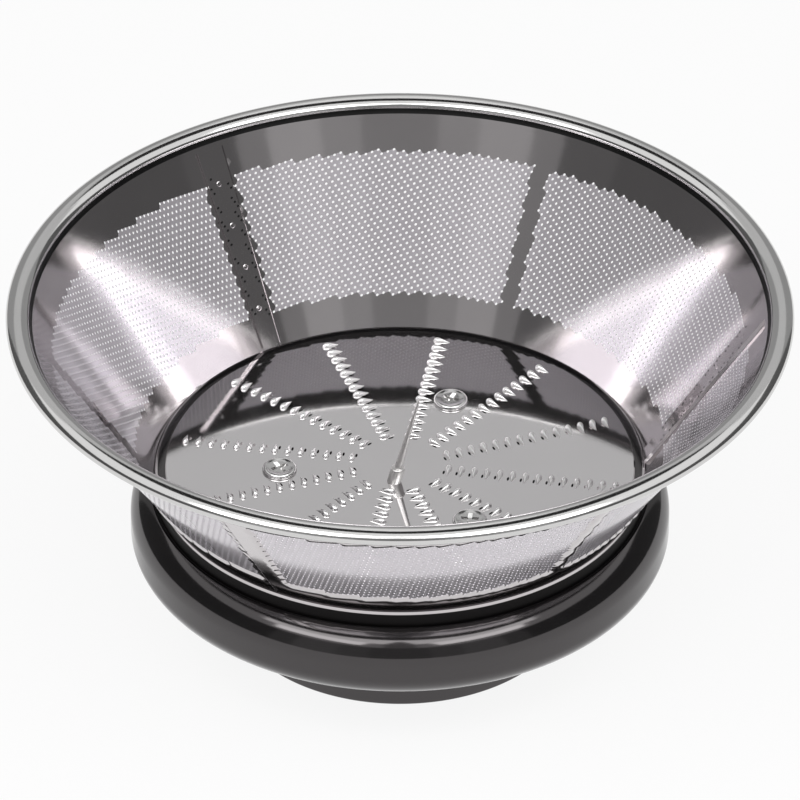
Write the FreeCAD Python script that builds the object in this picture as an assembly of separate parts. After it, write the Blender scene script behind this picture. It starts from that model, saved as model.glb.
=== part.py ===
# Juicer mesh screen: a conical sieve basket with a grater disc, on a moulded drive base.
import FreeCAD, Part
import math
import os

# Sizes are in millimetres and angles in degrees, counter-clockwise seen from above.
# The origin is on the turning axis, level with the foot of the hub, and +Z is up.

# Moulded drive base
hub_height = 15.5
hub_wall = 2.6
hub_edge_radius = 0.5
hub_room = 3.4
skirt_reach = 4.6
skirt_wall = 2.6
skirt_lip = 0.3
skirt_edge_radius = 4.6
skirt_straight = 3.1
crown_radius = 7.5
trough_width = 0.7
trough_depth = 0.5
neck_height = 3.3
plate_thickness = 3.0
plate_drop = 0.2
shoulder_width = 1.5
shoulder_rise = 0.4
rib_thickness = 2.0

# Drive socket under the base
socket_radius = 6.0
socket_wall = 3.5
socket_recess = 2.0
socket_roof = 5.3
spline_step = 1.2
spline_count = 6
spline_width = 1.8
spline_depth = 1.0
spline_length = 9.0

# Sieve wall, with its bands measured up the slope
wall_angle = 34.3
wall_foot_radius = 46.7
sheet_thickness = 0.5
sheet_count = 3
first_seam_angle = 0.55
lap_angle = 4.1
joggle_angle = 0.8
seam_gap_angle = 0.1
strip_shift_angle = 4.85
strip_angle = 2.0
low_band = 6.4
mesh_band = 29.0
high_band = 6.0

# Coarse openings of the mesh band, each with two level edges and two points
mesh_rows = 4
gaps_in_long_row = 5
web_width = 1.9
level_edge_share = 0.5
gap_cut_reach = 2.0

# Rolled rim, with the curl measured past the underside's middle
rim_thickness = 0.5
rim_leg = 2.1
bead_width = 4.45
bead_height = 3.2
bead_end_radius = 1.2
bead_curl_angle = 16.0

# Grater disc
disc_thickness = 0.8
row_count = 12
first_row_angle = 20.0
first_tooth_radius = 9.5
tooth_pitch = 2.5
tooth_edge_margin = 2.7
tooth_width = 1.2
tooth_length = 2.2
tooth_tilt = 35.0
tooth_thickness = 0.45
tooth_root = 0.3
tooth_hole_start = 0.5
tooth_hole_width = 1.1

# Pan-head screws
screw_count = 3
screw_circle_radius = 23.2
first_screw_angle = 65.0
screw_radius = 1.75
screw_length = 11.0
screw_point = 1.5
head_radius = 3.3
head_height = 0.9
head_edge_radius = 0.6
cross_length = 3.0
cross_width = 0.8
cross_depth = 0.6
boss_wall = 2.2
boss_floor = 1.5

# Leaning pin beside the middle of the disc
pin_foot_x = -1.15
pin_foot_y = -5.7
pin_lean = 14.2
pin_height = 19.0
collar_height = 3.3
collar_radius = 1.35
needle_root_radius = 0.75
needle_tip_radius = 0.2
shank_radius = 1.1
shank_depth = 4.5

# Clearances between the pieces
sheet_clearance = 0.05
rim_top_clearance = 0.1
shoulder_clearance = 0.1
disc_clearance = 0.2
tongue_clearance = 0.3
hole_clearance = 0.15
pilot_clearance = 0.05
tip_clearance = 0.5

# How far joined shapes of one piece run into each other
bite = 0.2

# Sizes worked out from the values above
wall_slope = math.tan(math.radians(wall_angle))
wall_cosine = math.cos(math.radians(wall_angle))
wall_sine = math.sin(math.radians(wall_angle))
sheet_level_thickness = sheet_thickness / wall_cosine
sheet_level_clearance = sheet_clearance / wall_cosine
rim_level_thickness = rim_thickness / wall_cosine

neck_radius = wall_foot_radius + sheet_level_thickness
trough_outer = neck_radius + trough_width
skirt_radius = neck_radius + skirt_reach
skirt_inner = skirt_radius - skirt_wall
edge_centre = skirt_radius - skirt_edge_radius
edge_turn = math.degrees(math.acos((skirt_inner + skirt_lip - edge_centre) / skirt_edge_radius))
edge_height = hub_height + skirt_edge_radius * math.sin(math.radians(edge_turn))
crown_centre = skirt_radius - crown_radius
crown_turn = math.degrees(math.acos((trough_outer - crown_centre) / crown_radius))
crown_height = edge_height + skirt_straight
crown_top = crown_height + crown_radius * math.sin(math.radians(crown_turn))
ledge = crown_top + neck_height
plate_top = ledge - plate_drop
plate_bottom = plate_top - plate_thickness
disc_top = plate_top + disc_thickness
shoulder_outer = wall_foot_radius - shoulder_clearance
shoulder_inner = shoulder_outer - shoulder_width
shoulder_top = ledge + shoulder_rise
disc_radius = shoulder_inner - disc_clearance
boss_radius = screw_radius + boss_wall
boss_foot = disc_top - screw_length - tip_clearance - boss_floor
hub_inner = screw_circle_radius + boss_radius + hub_room
hub_radius = hub_inner + hub_wall
socket_boss_radius = socket_radius + socket_wall
socket_top = plate_bottom - socket_roof
spline_radius = socket_radius - spline_step
spline_foot = socket_top - spline_length

leg_bottom = ledge + (low_band + mesh_band + high_band) * wall_cosine
bead_middle = leg_bottom + rim_leg * wall_cosine
wall_top = bead_middle - rim_top_clearance
bead_end_reach = bead_width / 2 - bead_end_radius
bead_broad_radius = (bead_end_reach ** 2 + (bead_height / 2) ** 2 - bead_end_radius ** 2) / (
    bead_height - 2 * bead_end_radius)
bead_broad_drop = bead_broad_radius - bead_height / 2
bead_joint_angle = math.degrees(math.atan2(bead_broad_drop, bead_end_reach))
sheet_step = 360.0 / sheet_count
screw_step = 360.0 / screw_count


def at(radius, height, angle=0.0):
    """Point at a radius and height, turned about the axis."""
    turn = math.radians(angle)
    return FreeCAD.Vector(radius * math.cos(turn), radius * math.sin(turn), height)


def turned(shape, angle):
    """Copy of a shape turned about the axis."""
    copy = shape.copy()
    copy.rotate(FreeCAD.Vector(0, 0, 0), FreeCAD.Vector(0, 0, 1), angle)
    return copy


def revolved(edges, sweep=360.0):
    """Solid swept about the axis by a closed outline of edges."""
    outline = Part.Wire(Part.__sortEdges__(edges))
    return Part.Face(outline).revolve(FreeCAD.Vector(0, 0, 0), FreeCAD.Vector(0, 0, 1), sweep)


def line(start, end):
    """Straight edge between two points."""
    return Part.LineSegment(start, end).toShape()


def polygon(points):
    """Straight edges through points, closed back to the first."""
    return [line(a, b) for a, b in zip(points, points[1:] + points[:1])]


def on_arc(centre_radius, centre_height, radius, angle):
    """Point of a circle in the profile plane."""
    turn = math.radians(angle)
    return at(centre_radius + radius * math.cos(turn), centre_height + radius * math.sin(turn))


def corner_arc(centre_radius, centre_height, radius, first_angle, last_angle):
    """Arc of a rounded corner in the profile plane."""
    angles = [first_angle, (first_angle + last_angle) / 2, last_angle]
    points = [on_arc(centre_radius, centre_height, radius, angle) for angle in angles]
    return Part.Arc(*points).toShape()


def chain(points):
    """Straight edges through points, left open."""
    return [line(a, b) for a, b in zip(points, points[1:])]


def post(radius, bottom, top, centre_radius=0.0, angle=0.0):
    """Upright cylinder between two heights."""
    return Part.makeCylinder(radius, top - bottom, at(centre_radius, bottom, angle))


def bar(near, far, width, bottom, top, angle):
    """Radial bar between two radii and two heights."""
    shape = Part.makeBox(far - near, width, top - bottom, FreeCAD.Vector(near, -width / 2, bottom))
    return turned(shape, angle)


def base_shell():
    """Hub, plate, neck and rounded skirt as one revolved wall."""
    inner_radius = crown_radius - skirt_wall
    trough_floor = crown_top - trough_depth
    edges = chain([
        at(0, plate_top),
        at(shoulder_inner, plate_top),
        at(shoulder_inner, shoulder_top),
        at(shoulder_outer, shoulder_top),
        at(shoulder_outer, ledge),
        at(neck_radius, ledge),
        at(neck_radius, trough_floor),
        at(trough_outer, trough_floor),
        at(trough_outer, crown_top),
    ])
    edges.append(corner_arc(crown_centre, crown_height, crown_radius, crown_turn, 0))
    edges.append(line(at(skirt_radius, crown_height), at(skirt_radius, edge_height)))
    edges.append(corner_arc(edge_centre, edge_height, skirt_edge_radius, 0, -edge_turn))
    edges += chain([
        at(skirt_inner + skirt_lip, hub_height),
        at(skirt_inner, hub_height),
        at(skirt_inner, crown_height),
    ])
    edges.append(corner_arc(crown_centre, crown_height, inner_radius, 0, 90))
    edges += chain([
        at(crown_centre, crown_height + inner_radius),
        at(crown_centre, plate_bottom),
        at(hub_radius, plate_bottom),
        at(hub_radius, hub_edge_radius),
    ])
    edges.append(corner_arc(hub_radius - hub_edge_radius, hub_edge_radius, hub_edge_radius, 0, -90))
    edges += chain([
        at(hub_radius - hub_edge_radius, 0),
        at(hub_inner, 0),
        at(hub_inner, plate_bottom),
        at(socket_boss_radius, plate_bottom),
        at(socket_boss_radius, socket_recess),
        at(socket_radius, socket_recess),
        at(socket_radius, spline_foot),
        at(spline_radius, spline_foot),
        at(spline_radius, socket_top),
        at(0, socket_top),
        at(0, plate_top),
    ])
    return revolved(edges)


def drive_base():
    """Moulded base with ribs, screw bosses, a splined drive socket and a seat for the pin."""
    additions = []
    pilots = []
    for index in range(screw_count):
        angle = first_screw_angle + index * screw_step
        additions.append(bar(
            socket_boss_radius - bite, hub_inner + bite, rib_thickness,
            hub_height, plate_bottom + bite, angle))
        additions.append(post(boss_radius, boss_foot, plate_bottom + bite, screw_circle_radius, angle))
        pilots.append(post(
            screw_radius + pilot_clearance, disc_top - screw_length - tip_clearance, plate_top + bite,
            screw_circle_radius, angle))
    grooves = [
        bar(0, spline_radius + spline_depth, spline_width, spline_foot - bite, socket_top,
            index * 360.0 / spline_count)
        for index in range(spline_count)
    ]
    pin_seat = Part.makeCylinder(
        shank_radius + pilot_clearance, shank_depth + tip_clearance + bite,
        FreeCAD.Vector(pin_foot_x, pin_foot_y, plate_top - shank_depth - tip_clearance))
    return base_shell().fuse(additions).cut(pilots + grooves + [pin_seat]).removeSplitter()


def wall_radius(height):
    """Radius of the sieve wall's inner face at a height."""
    return wall_foot_radius + (height - ledge) * wall_slope


def wall_sector(inset, depth, bottom, top, start, end):
    """Sector of the conical wall, set in from its inner face."""
    points = [
        at(wall_radius(bottom) - inset, bottom),
        at(wall_radius(bottom) - inset + depth, bottom),
        at(wall_radius(top) - inset + depth, top),
        at(wall_radius(top) - inset, top),
    ]
    return turned(revolved(polygon(points), end - start), start)


def mesh_gap(slope_place, angle, half_width, half_height):
    """Six-sided cutter through the wall, square to its slope."""
    turn = math.radians(angle)
    across = FreeCAD.Vector(-math.sin(turn), math.cos(turn), 0)
    upward = at(wall_sine, wall_cosine, angle)
    outward = at(wall_cosine, -wall_sine, angle)
    centre = at(wall_foot_radius + slope_place * wall_sine, ledge + slope_place * wall_cosine, angle)
    share = level_edge_share
    corners = [(1, 0), (share, 1), (-share, 1), (-1, 0), (-share, -1), (share, -1)]
    points = [
        centre - outward * gap_cut_reach + across * (side * half_width) + upward * (rise * half_height)
        for side, rise in corners
    ]
    return Part.Face(Part.Wire(polygon(points))).extrude(outward * (2 * gap_cut_reach))


def mesh_field(start, end):
    """Staggered rows of gaps between two angles."""
    row_pitch = mesh_band / mesh_rows
    angle_pitch = (end - start) / gaps_in_long_row
    half_height = (row_pitch - web_width) / 2
    gaps = []
    for row in range(mesh_rows):
        slope_place = low_band + (row + 0.5) * row_pitch
        arc_pitch = math.radians(angle_pitch) * (wall_foot_radius + slope_place * wall_sine)
        half_width = (arc_pitch - web_width) / 2
        short = row % 2
        for column in range(gaps_in_long_row - short):
            angle = start + (column + 0.5 + 0.5 * short) * angle_pitch
            gaps.append(mesh_gap(slope_place, angle, half_width, half_height))
    return gaps


def sieve_sheet(index):
    """One perforated sheet, with a stepped tongue that laps over the next sheet inside."""
    start = first_seam_angle + index * sheet_step
    end = start + sheet_step
    tongue_inset = sheet_level_thickness + sheet_level_clearance
    tongue_low = shoulder_top + tongue_clearance
    tongue_high = leg_bottom - tongue_clearance
    body = wall_sector(0, sheet_level_thickness, ledge, wall_top, start + seam_gap_angle, end)
    joggle = wall_sector(
        tongue_inset, tongue_inset + sheet_level_thickness, tongue_low, tongue_high, end - joggle_angle, end)
    tongue = wall_sector(
        tongue_inset, sheet_level_thickness, tongue_low, tongue_high, end - joggle_angle, end + lap_angle)
    strip_start = start + sheet_step / 2 + strip_shift_angle - strip_angle / 2
    gaps = mesh_field(start + lap_angle, strip_start)
    gaps += mesh_field(strip_start + strip_angle, end - joggle_angle)
    return body.fuse([joggle, tongue]).cut(gaps).removeSplitter()


def bead_arcs(middle_radius, inset):
    """Oval bead from the leg over the top to its curled edge, set in from the outer face."""
    end_radius = bead_end_radius - inset
    broad_radius = bead_broad_radius - inset
    return [
        corner_arc(middle_radius - bead_end_reach, bead_middle, end_radius, 180, 180 - bead_joint_angle),
        corner_arc(
            middle_radius, bead_middle - bead_broad_drop, broad_radius,
            180 - bead_joint_angle, bead_joint_angle),
        corner_arc(
            middle_radius + bead_end_reach, bead_middle, end_radius, bead_joint_angle, -bead_joint_angle),
        corner_arc(
            middle_radius, bead_middle + bead_broad_drop, broad_radius,
            -bead_joint_angle, -90 - bead_curl_angle),
    ]


def rim_ring():
    """Rolled steel rim: a leg inside the wall, and a bead that curls out and under."""
    leg_in = sheet_level_clearance + rim_level_thickness
    bead_inner = wall_radius(bead_middle) - leg_in
    middle_radius = bead_inner + bead_width / 2
    leg_foot = wall_radius(leg_bottom) - leg_in
    curl_edge = [
        on_arc(middle_radius, bead_middle + bead_broad_drop, bead_broad_radius - inset, -90 - bead_curl_angle)
        for inset in (0, rim_thickness)
    ]
    edges = bead_arcs(middle_radius, 0) + bead_arcs(middle_radius, rim_thickness) + chain(curl_edge)
    edges += chain([
        at(bead_inner, bead_middle),
        at(leg_foot, leg_bottom),
        at(leg_foot + rim_level_thickness, leg_bottom),
        at(bead_inner + rim_thickness, bead_middle),
    ])
    return revolved(edges)


def upright_prism(points, height):
    """Solid raised from a flat outline."""
    return Part.Face(Part.Wire(polygon(points))).extrude(FreeCAD.Vector(0, 0, height))


def tooth_tab():
    """Raised tooth on the +X radius, with its point turned clockwise."""
    tilt = math.radians(tooth_tilt)
    along = FreeCAD.Vector(0, -math.cos(tilt), math.sin(tilt))
    below = FreeCAD.Vector(0, -math.sin(tilt), -math.cos(tilt)) * tooth_thickness
    root = along * -tooth_root + FreeCAD.Vector(0, 0, disc_top)
    half = FreeCAD.Vector(tooth_width / 2, 0, 0)
    points = [root - half, root + half, along * tooth_length + FreeCAD.Vector(0, 0, disc_top)]
    return Part.Face(Part.Wire(polygon(points))).extrude(below)


def tooth_hole():
    """Cutter for the hole that a tooth is raised from."""
    reach = tooth_length * math.cos(math.radians(tooth_tilt)) + tooth_root
    bottom = plate_top - bite
    points = [
        FreeCAD.Vector(-tooth_hole_width / 2, -tooth_hole_start, bottom),
        FreeCAD.Vector(0, -reach, bottom),
        FreeCAD.Vector(tooth_hole_width / 2, -tooth_hole_start, bottom),
    ]
    return upright_prism(points, disc_thickness + 2 * bite)


def stands_clear(point):
    """Whether a tooth at a point keeps off the screw heads and the pin's collar."""
    obstacles = [(FreeCAD.Vector(pin_foot_x, pin_foot_y, 0), collar_radius)]
    for index in range(screw_count):
        obstacles.append((at(screw_circle_radius, 0, first_screw_angle + index * screw_step), head_radius))
    return all(point.distanceToPoint(centre) > radius + tooth_length for centre, radius in obstacles)


def grater_disc():
    """Flat disc with radial rows of raised teeth, and holes for its screws and the pin."""
    last_tooth_radius = disc_radius - tooth_edge_margin
    teeth_in_row = int((last_tooth_radius - first_tooth_radius) / tooth_pitch) + 1
    tabs = []
    holes = []
    for row in range(row_count):
        angle = first_row_angle + row * 360.0 / row_count
        for place in range(teeth_in_row):
            radius = first_tooth_radius + place * tooth_pitch
            if stands_clear(at(radius, 0, angle)):
                shift = FreeCAD.Vector(radius, 0, 0)
                tabs.append(turned(tooth_tab().translated(shift), angle))
                holes.append(turned(tooth_hole().translated(shift), angle))
    for index in range(screw_count):
        holes.append(post(
            screw_radius + hole_clearance, plate_top - bite, disc_top + bite,
            screw_circle_radius, first_screw_angle + index * screw_step))
    holes.append(Part.makeCylinder(
        shank_radius + hole_clearance, disc_thickness + 2 * bite,
        FreeCAD.Vector(pin_foot_x, pin_foot_y, plate_top - bite)))
    plate = post(disc_radius, plate_top, disc_top)
    return plate.cut(holes).fuse(tabs).removeSplitter()


def disc_screw():
    """Pan-head screw with a cross recess, standing on the axis."""
    seat = disc_top
    top = seat + head_height
    tip = seat - screw_length
    edges = chain([at(0, tip), at(0, top), at(head_radius - head_edge_radius, top)])
    edges.append(corner_arc(head_radius - head_edge_radius, top - head_edge_radius, head_edge_radius, 90, 0))
    edges += chain([
        at(head_radius, top - head_edge_radius),
        at(head_radius, seat),
        at(screw_radius, seat),
        at(screw_radius, tip + screw_point),
        at(0, tip),
    ])
    slots = [
        bar(-cross_length / 2, cross_length / 2, cross_width, top - cross_depth, top + bite, angle)
        for angle in (0, 90)
    ]
    return revolved(edges).cut(slots)


def disc_screws():
    """The screws that hold the disc down, as separate solids."""
    screw = disc_screw().translated(FreeCAD.Vector(screw_circle_radius, 0, 0))
    return Part.makeCompound([
        turned(screw, first_screw_angle + index * screw_step)
        for index in range(screw_count)
    ])


def centre_pin():
    """Leaning tapered needle on a short collar, with an upright shank in the base."""
    foot = FreeCAD.Vector(pin_foot_x, pin_foot_y, disc_top)
    lean = math.radians(pin_lean)
    along = FreeCAD.Vector(math.sin(lean), 0, math.cos(lean))
    sunk = collar_radius
    collar = Part.makeCylinder(
        collar_radius, collar_height / math.cos(lean) + sunk, foot - along * sunk, along)
    needle_start = foot + along * (collar_height / math.cos(lean) - bite)
    needle = Part.makeCone(
        needle_root_radius, needle_tip_radius, (pin_height - collar_height) / math.cos(lean) + bite,
        needle_start, along)
    room = collar_radius + collar_height
    below = Part.makeCylinder(room, room, foot - FreeCAD.Vector(0, 0, room))
    drop = disc_thickness + shank_depth
    shank = Part.makeCylinder(shank_radius, drop + bite, foot - FreeCAD.Vector(0, 0, drop))
    return collar.cut(below).fuse([needle, shank]).removeSplitter()


nodes = {
    "drive_base": drive_base(),
    "grater_disc": grater_disc(),
    "disc_screws": disc_screws(),
    "centre_pin": centre_pin(),
    "rim_ring": rim_ring(),
}
for number in range(sheet_count):
    nodes["sieve_sheet_%d" % (number + 1)] = sieve_sheet(number)

os.makedirs("parts", exist_ok=True)
for name, shape in nodes.items():
    shape.exportStep("parts/%s.step" % name)
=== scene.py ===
"""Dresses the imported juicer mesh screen: fine shapes, finishes, studio and camera."""

import logging
import math
from dataclasses import dataclass, field, replace
from enum import Enum
from typing import Any, Union

import bmesh
import bpy
import numpy as np
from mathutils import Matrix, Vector, geometry

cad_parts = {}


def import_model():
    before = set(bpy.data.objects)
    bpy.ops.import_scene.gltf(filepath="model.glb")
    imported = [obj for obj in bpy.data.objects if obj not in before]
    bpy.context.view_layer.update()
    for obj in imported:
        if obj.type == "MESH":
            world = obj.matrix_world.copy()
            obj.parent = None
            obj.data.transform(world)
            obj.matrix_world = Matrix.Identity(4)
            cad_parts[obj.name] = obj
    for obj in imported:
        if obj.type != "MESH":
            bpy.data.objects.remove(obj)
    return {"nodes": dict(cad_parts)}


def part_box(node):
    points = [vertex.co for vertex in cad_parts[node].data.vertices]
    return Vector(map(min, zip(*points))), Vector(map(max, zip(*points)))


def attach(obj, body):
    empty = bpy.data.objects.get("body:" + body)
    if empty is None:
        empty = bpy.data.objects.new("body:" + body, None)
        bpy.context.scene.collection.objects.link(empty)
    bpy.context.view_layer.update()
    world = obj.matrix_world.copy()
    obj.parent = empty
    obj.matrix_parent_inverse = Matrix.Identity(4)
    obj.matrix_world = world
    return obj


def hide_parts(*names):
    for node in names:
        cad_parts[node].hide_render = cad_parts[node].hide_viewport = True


LOG = logging.getLogger("juicer_mesh_screen")
MM = 0.001
ROUND_STEPS = 288
HOLE_STEPS = 24
TRIANGLES_INSIDE = 1
FLAT_TOLERANCE = 1e-6
MERGE_DISTANCE = 1e-4

# Sizes that several pieces share, in millimetres and degrees.
WALL_FOOT_RADIUS = 46.7
WALL_ANGLE = 34.3
SHEET_THICKNESS = 0.5
DISC_THICKNESS = 0.8
HEAD_RADIUS = 3.3
COLLAR_RADIUS = 1.35

# Numbers of a Mix node's colour sockets, and values that shaders share.
MIX_COLOURS = (6, 7)
MIX_RESULT = 2
NOISE_MIDDLE = 0.5
OPAQUE = 1.0
WHITE = (1.0, 1.0, 1.0, OPAQUE)

SIDES = (("left", -1), ("right", 1))

Pair = tuple[float, float]
Triple = tuple[float, float, float]
Faces = list[tuple[int, ...]]
Material = bpy.types.Material
Socket = bpy.types.NodeSocket


class Grain(Enum):
    """How a steel surface was worked, with the stretch of its broad waves and of its fine marks.

    ROLLED marks run up the wall's slope, TURNED ones about the axis, and POLISHED ones have no direction.
    """

    ROLLED = ((1.0, 1.0, 0.22), (1.0, 1.0, 0.06))
    TURNED = ((1.0, 1.0, 1.0), (0.15, 0.15, 3.0))
    POLISHED = ((1.0, 1.0, 1.0), (1.0, 1.0, 1.0))

    @property
    def wave_stretch(self) -> Triple:
        """Stretch of the broad waves along each axis."""
        return self.value[0]

    @property
    def mark_stretch(self) -> Triple:
        """Stretch of the fine marks along each axis."""
        return self.value[1]


class Value:
    """A number in a shader graph that grows Math nodes through Python operators."""

    def __init__(self, graph: "Graph", socket: Socket) -> None:
        """Wraps an output socket of a graph."""
        self.graph = graph
        self.socket = socket

    def math(self, operation: str, first: Any, second: Any) -> "Value":
        """Adds one Math node.

        Args:
            operation: Blender's name of the operation.
            first: Number or Value of the first socket.
            second: Number or Value of the second socket.

        Returns:
            The node's result.
        """
        node = self.graph.node("ShaderNodeMath", {"operation": operation}, {0: first, 1: second})
        return Value(self.graph, node.outputs[0])

    def __add__(self, other: Any) -> "Value":
        """Sum with another number."""
        return self.math("ADD", self, other)

    __radd__ = __add__

    def __sub__(self, other: Any) -> "Value":
        """This number less another."""
        return self.math("SUBTRACT", self, other)

    def __mul__(self, other: Any) -> "Value":
        """Product with another number."""
        return self.math("MULTIPLY", self, other)

    __rmul__ = __mul__

    def at_most(self, other: Any) -> "Value":
        """The smaller of this number and another."""
        return self.math("MINIMUM", self, other)


@dataclass
class Graph:
    """A node tree and the one way that nodes are added to it."""

    tree: bpy.types.NodeTree

    @classmethod
    def emptied(cls, owner: Union[Material, bpy.types.World]) -> "Graph":
        """Node tree of a material or world with nothing in it.

        Args:
            owner: The material or world.

        Returns:
            The emptied tree.
        """
        owner.use_nodes = True
        owner.node_tree.nodes.clear()
        return cls(owner.node_tree)

    def node(self, kind: str, settings: dict[str, Any] | None = None,
             inputs: dict[Any, Any] | None = None) -> bpy.types.Node:
        """Adds a node.

        Args:
            kind: Blender's type name of the node.
            settings: Properties that are set first.
            inputs: Socket names or numbers, with a value, a Value or an output socket for each.

        Returns:
            The new node.
        """
        made = self.tree.nodes.new(kind)
        for name, setting in (settings or {}).items():
            setattr(made, name, setting)
        for key, given in (inputs or {}).items():
            if isinstance(given, Value):
                self.tree.links.new(given.socket, made.inputs[key])
            elif isinstance(given, Socket):
                self.tree.links.new(given, made.inputs[key])
            else:
                made.inputs[key].default_value = given
        return made

    def value(self, node: bpy.types.Node, output: str) -> Value:
        """Number that a node gives out."""
        return Value(self, node.outputs[output])

    def noise(self, place: Socket, scale: float, detail: float) -> Value:
        """Smooth noise from 0 to 1 at a place, with a scale per metre."""
        made = self.node("ShaderNodeTexNoise", None, {"Vector": place, "Scale": scale, "Detail": detail})
        return self.value(made, "Fac")

    def stretched(self, place: Socket, factors: Triple) -> Socket:
        """Place with each axis scaled by its own factor."""
        made = self.node("ShaderNodeVectorMath", {"operation": "MULTIPLY"}, {0: place, 1: factors})
        return made.outputs[0]

    def leaning(self, scale: float, shift: float = 0.0) -> Socket:
        """Surface normal with its upright part scaled and shifted, as on a slightly bowed wall.

        Args:
            scale: Factor of the upright part.
            shift: What is added to it then.

        Returns:
            The leaning normal, of length 1.
        """
        normal = self.node("ShaderNodeNewGeometry").outputs["Normal"]
        leant = self.node("ShaderNodeVectorMath", {"operation": "MULTIPLY_ADD"}, {
            0: normal, 1: (1.0, 1.0, scale), 2: (0.0, 0.0, shift)})
        made = self.node("ShaderNodeVectorMath", {"operation": "NORMALIZE"}, {0: leant.outputs[0]})
        return made.outputs[0]

    def mixed(self, factor: Value, first: Triple, second: Triple) -> Socket:
        """Colour between two colours by a factor.

        Args:
            factor: 0 for the first colour and 1 for the second.
            first: The first colour.
            second: The second colour.

        Returns:
            The mixed colour.
        """
        low, high = MIX_COLOURS
        made = self.node("ShaderNodeMix", {"data_type": "RGBA"}, {
            0: factor, low: (*first, OPAQUE), high: (*second, OPAQUE)})
        return made.outputs[MIX_RESULT]

    def bump(self, height: Value, distance: float, normal: Socket) -> Socket:
        """Normal bent by a height field that rises by up to a distance in metres.

        Args:
            height: The height field, from 0 to 1.
            distance: How far its 1 rises.
            normal: The normal before.

        Returns:
            The bent normal.
        """
        made = self.node("ShaderNodeBump", None, {
            "Strength": 1.0, "Distance": distance, "Height": height, "Normal": normal})
        return made.outputs[0]

    def output(self, shader: bpy.types.Node, kind: str = "ShaderNodeOutputMaterial") -> None:
        """Sends a shader to the tree's output."""
        self.node(kind, None, {"Surface": shader.outputs[0]})


@dataclass(frozen=True)
class Steel:
    """Bare steel finish with soft unevenness, fine working marks and small tonal changes."""

    name: str
    light: Triple
    dark: Triple
    roughness: float
    roughness_change: float
    wave_height: float
    wave_scale: float
    mark_height: float
    grain: Grain
    metallic: float = 1.0
    lean: float = 1.0
    lean_shift: float = 0.0
    mark_scale: float = 2200.0
    mark_roughness: float = 0.02
    tone_scale: float = 70.0
    smear_scale: float = 190.0

    def material(self) -> Material:
        """Builds the finish.

        Returns:
            The material, with colour, roughness and bump from its nodes.
        """
        made = bpy.data.materials.new(self.name)
        graph = Graph.emptied(made)
        place = graph.node("ShaderNodeTexCoord").outputs["Object"]
        along = graph.stretched(place, self.grain.wave_stretch)
        wave = graph.noise(along, self.wave_scale, detail=1.0)
        marks = graph.noise(graph.stretched(place, self.grain.mark_stretch), self.mark_scale, detail=3.0)
        tone = graph.noise(place, self.tone_scale, detail=4.0)
        smear = graph.noise(along, self.smear_scale, detail=3.0)
        smeared = self.roughness + self.roughness_change * (smear - NOISE_MIDDLE)
        uneven = graph.bump(wave, self.wave_height, graph.leaning(self.lean, self.lean_shift))
        shader = graph.node("ShaderNodeBsdfPrincipled", None, {
            "Metallic": self.metallic,
            "Base Color": graph.mixed(tone, self.dark, self.light),
            "Roughness": smeared + self.mark_roughness * marks,
            "Normal": graph.bump(marks, self.mark_height, uneven)})
        graph.output(shader)
        return made


@dataclass(frozen=True)
class Plastic:
    """Glossy moulded plastic with a faint orange-peel skin and a little handling haze."""

    name: str
    deep: Triple
    hazy: Triple
    roughness: float
    skin_height: float
    lean: float
    ior: float
    tint: Triple = (1.0, 0.94, 0.955)
    haze_scale: float = 55.0
    haze_roughness: float = 0.06
    peel_scale: float = 420.0

    def material(self) -> Material:
        """Builds the finish.

        Returns:
            The material, with colour, roughness and bump from its nodes.
        """
        made = bpy.data.materials.new(self.name)
        graph = Graph.emptied(made)
        place = graph.node("ShaderNodeTexCoord").outputs["Object"]
        haze = graph.noise(place, self.haze_scale, detail=4.0)
        peel = graph.noise(place, self.peel_scale, detail=2.0)
        shader = graph.node("ShaderNodeBsdfPrincipled", None, {
            "Base Color": graph.mixed(haze, self.deep, self.hazy),
            "Roughness": self.roughness + self.haze_roughness * (haze - NOISE_MIDDLE),
            "IOR": self.ior,
            "Specular Tint": (*self.tint, OPAQUE),
            "Normal": graph.bump(peel, self.skin_height, graph.leaning(self.lean))})
        graph.output(shader)
        return made


SIEVE_STEEL = Steel(
    "sieve_steel", light=(0.61, 0.582, 0.59), dark=(0.54, 0.512, 0.52), roughness=0.08,
    roughness_change=0.04, wave_height=4e-5, wave_scale=95.0, mark_height=6e-7, grain=Grain.ROLLED,
    lean=0.882, lean_shift=-0.024)
# The perforated fields and hole walls take a lighter, only part-metallic copy of the sieve steel: a painted
# sheen for the brighter, even grey that the fields reflect.
MESH_STEEL = replace(
    SIEVE_STEEL, name="mesh_steel", light=(0.675, 0.645, 0.68), dark=(0.615, 0.585, 0.62),
    roughness=0.09, metallic=0.55)
# Near-black steel: painted shade, for the shadow inside the perforations that a lap closes and for the
# shadow line under the rim's bead.
PAINTED_SHADE_STEEL = Steel(
    "painted_shade_steel", light=(0.02, 0.02, 0.02), dark=(0.012, 0.012, 0.012), roughness=0.5,
    roughness_change=0.1, wave_height=1e-5, wave_scale=400.0, mark_height=1e-6, grain=Grain.POLISHED)
RIM_STEEL = Steel(
    "rim_steel", light=(0.68, 0.675, 0.67), dark=(0.62, 0.615, 0.61), roughness=0.1,
    roughness_change=0.04, wave_height=1e-5, wave_scale=160.0, mark_height=1e-6, grain=Grain.TURNED)
DISC_STEEL = Steel(
    "disc_steel", light=(0.69, 0.675, 0.68), dark=(0.645, 0.63, 0.635), roughness=0.045,
    roughness_change=0.02, wave_height=4e-6, wave_scale=60.0, mark_height=3e-7, grain=Grain.POLISHED)
TOOTH_STEEL = Steel(
    "tooth_steel", light=(0.86, 0.855, 0.85), dark=(0.78, 0.775, 0.77), roughness=0.28,
    roughness_change=0.06, wave_height=2e-5, wave_scale=500.0, mark_height=1e-6, grain=Grain.POLISHED)
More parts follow.
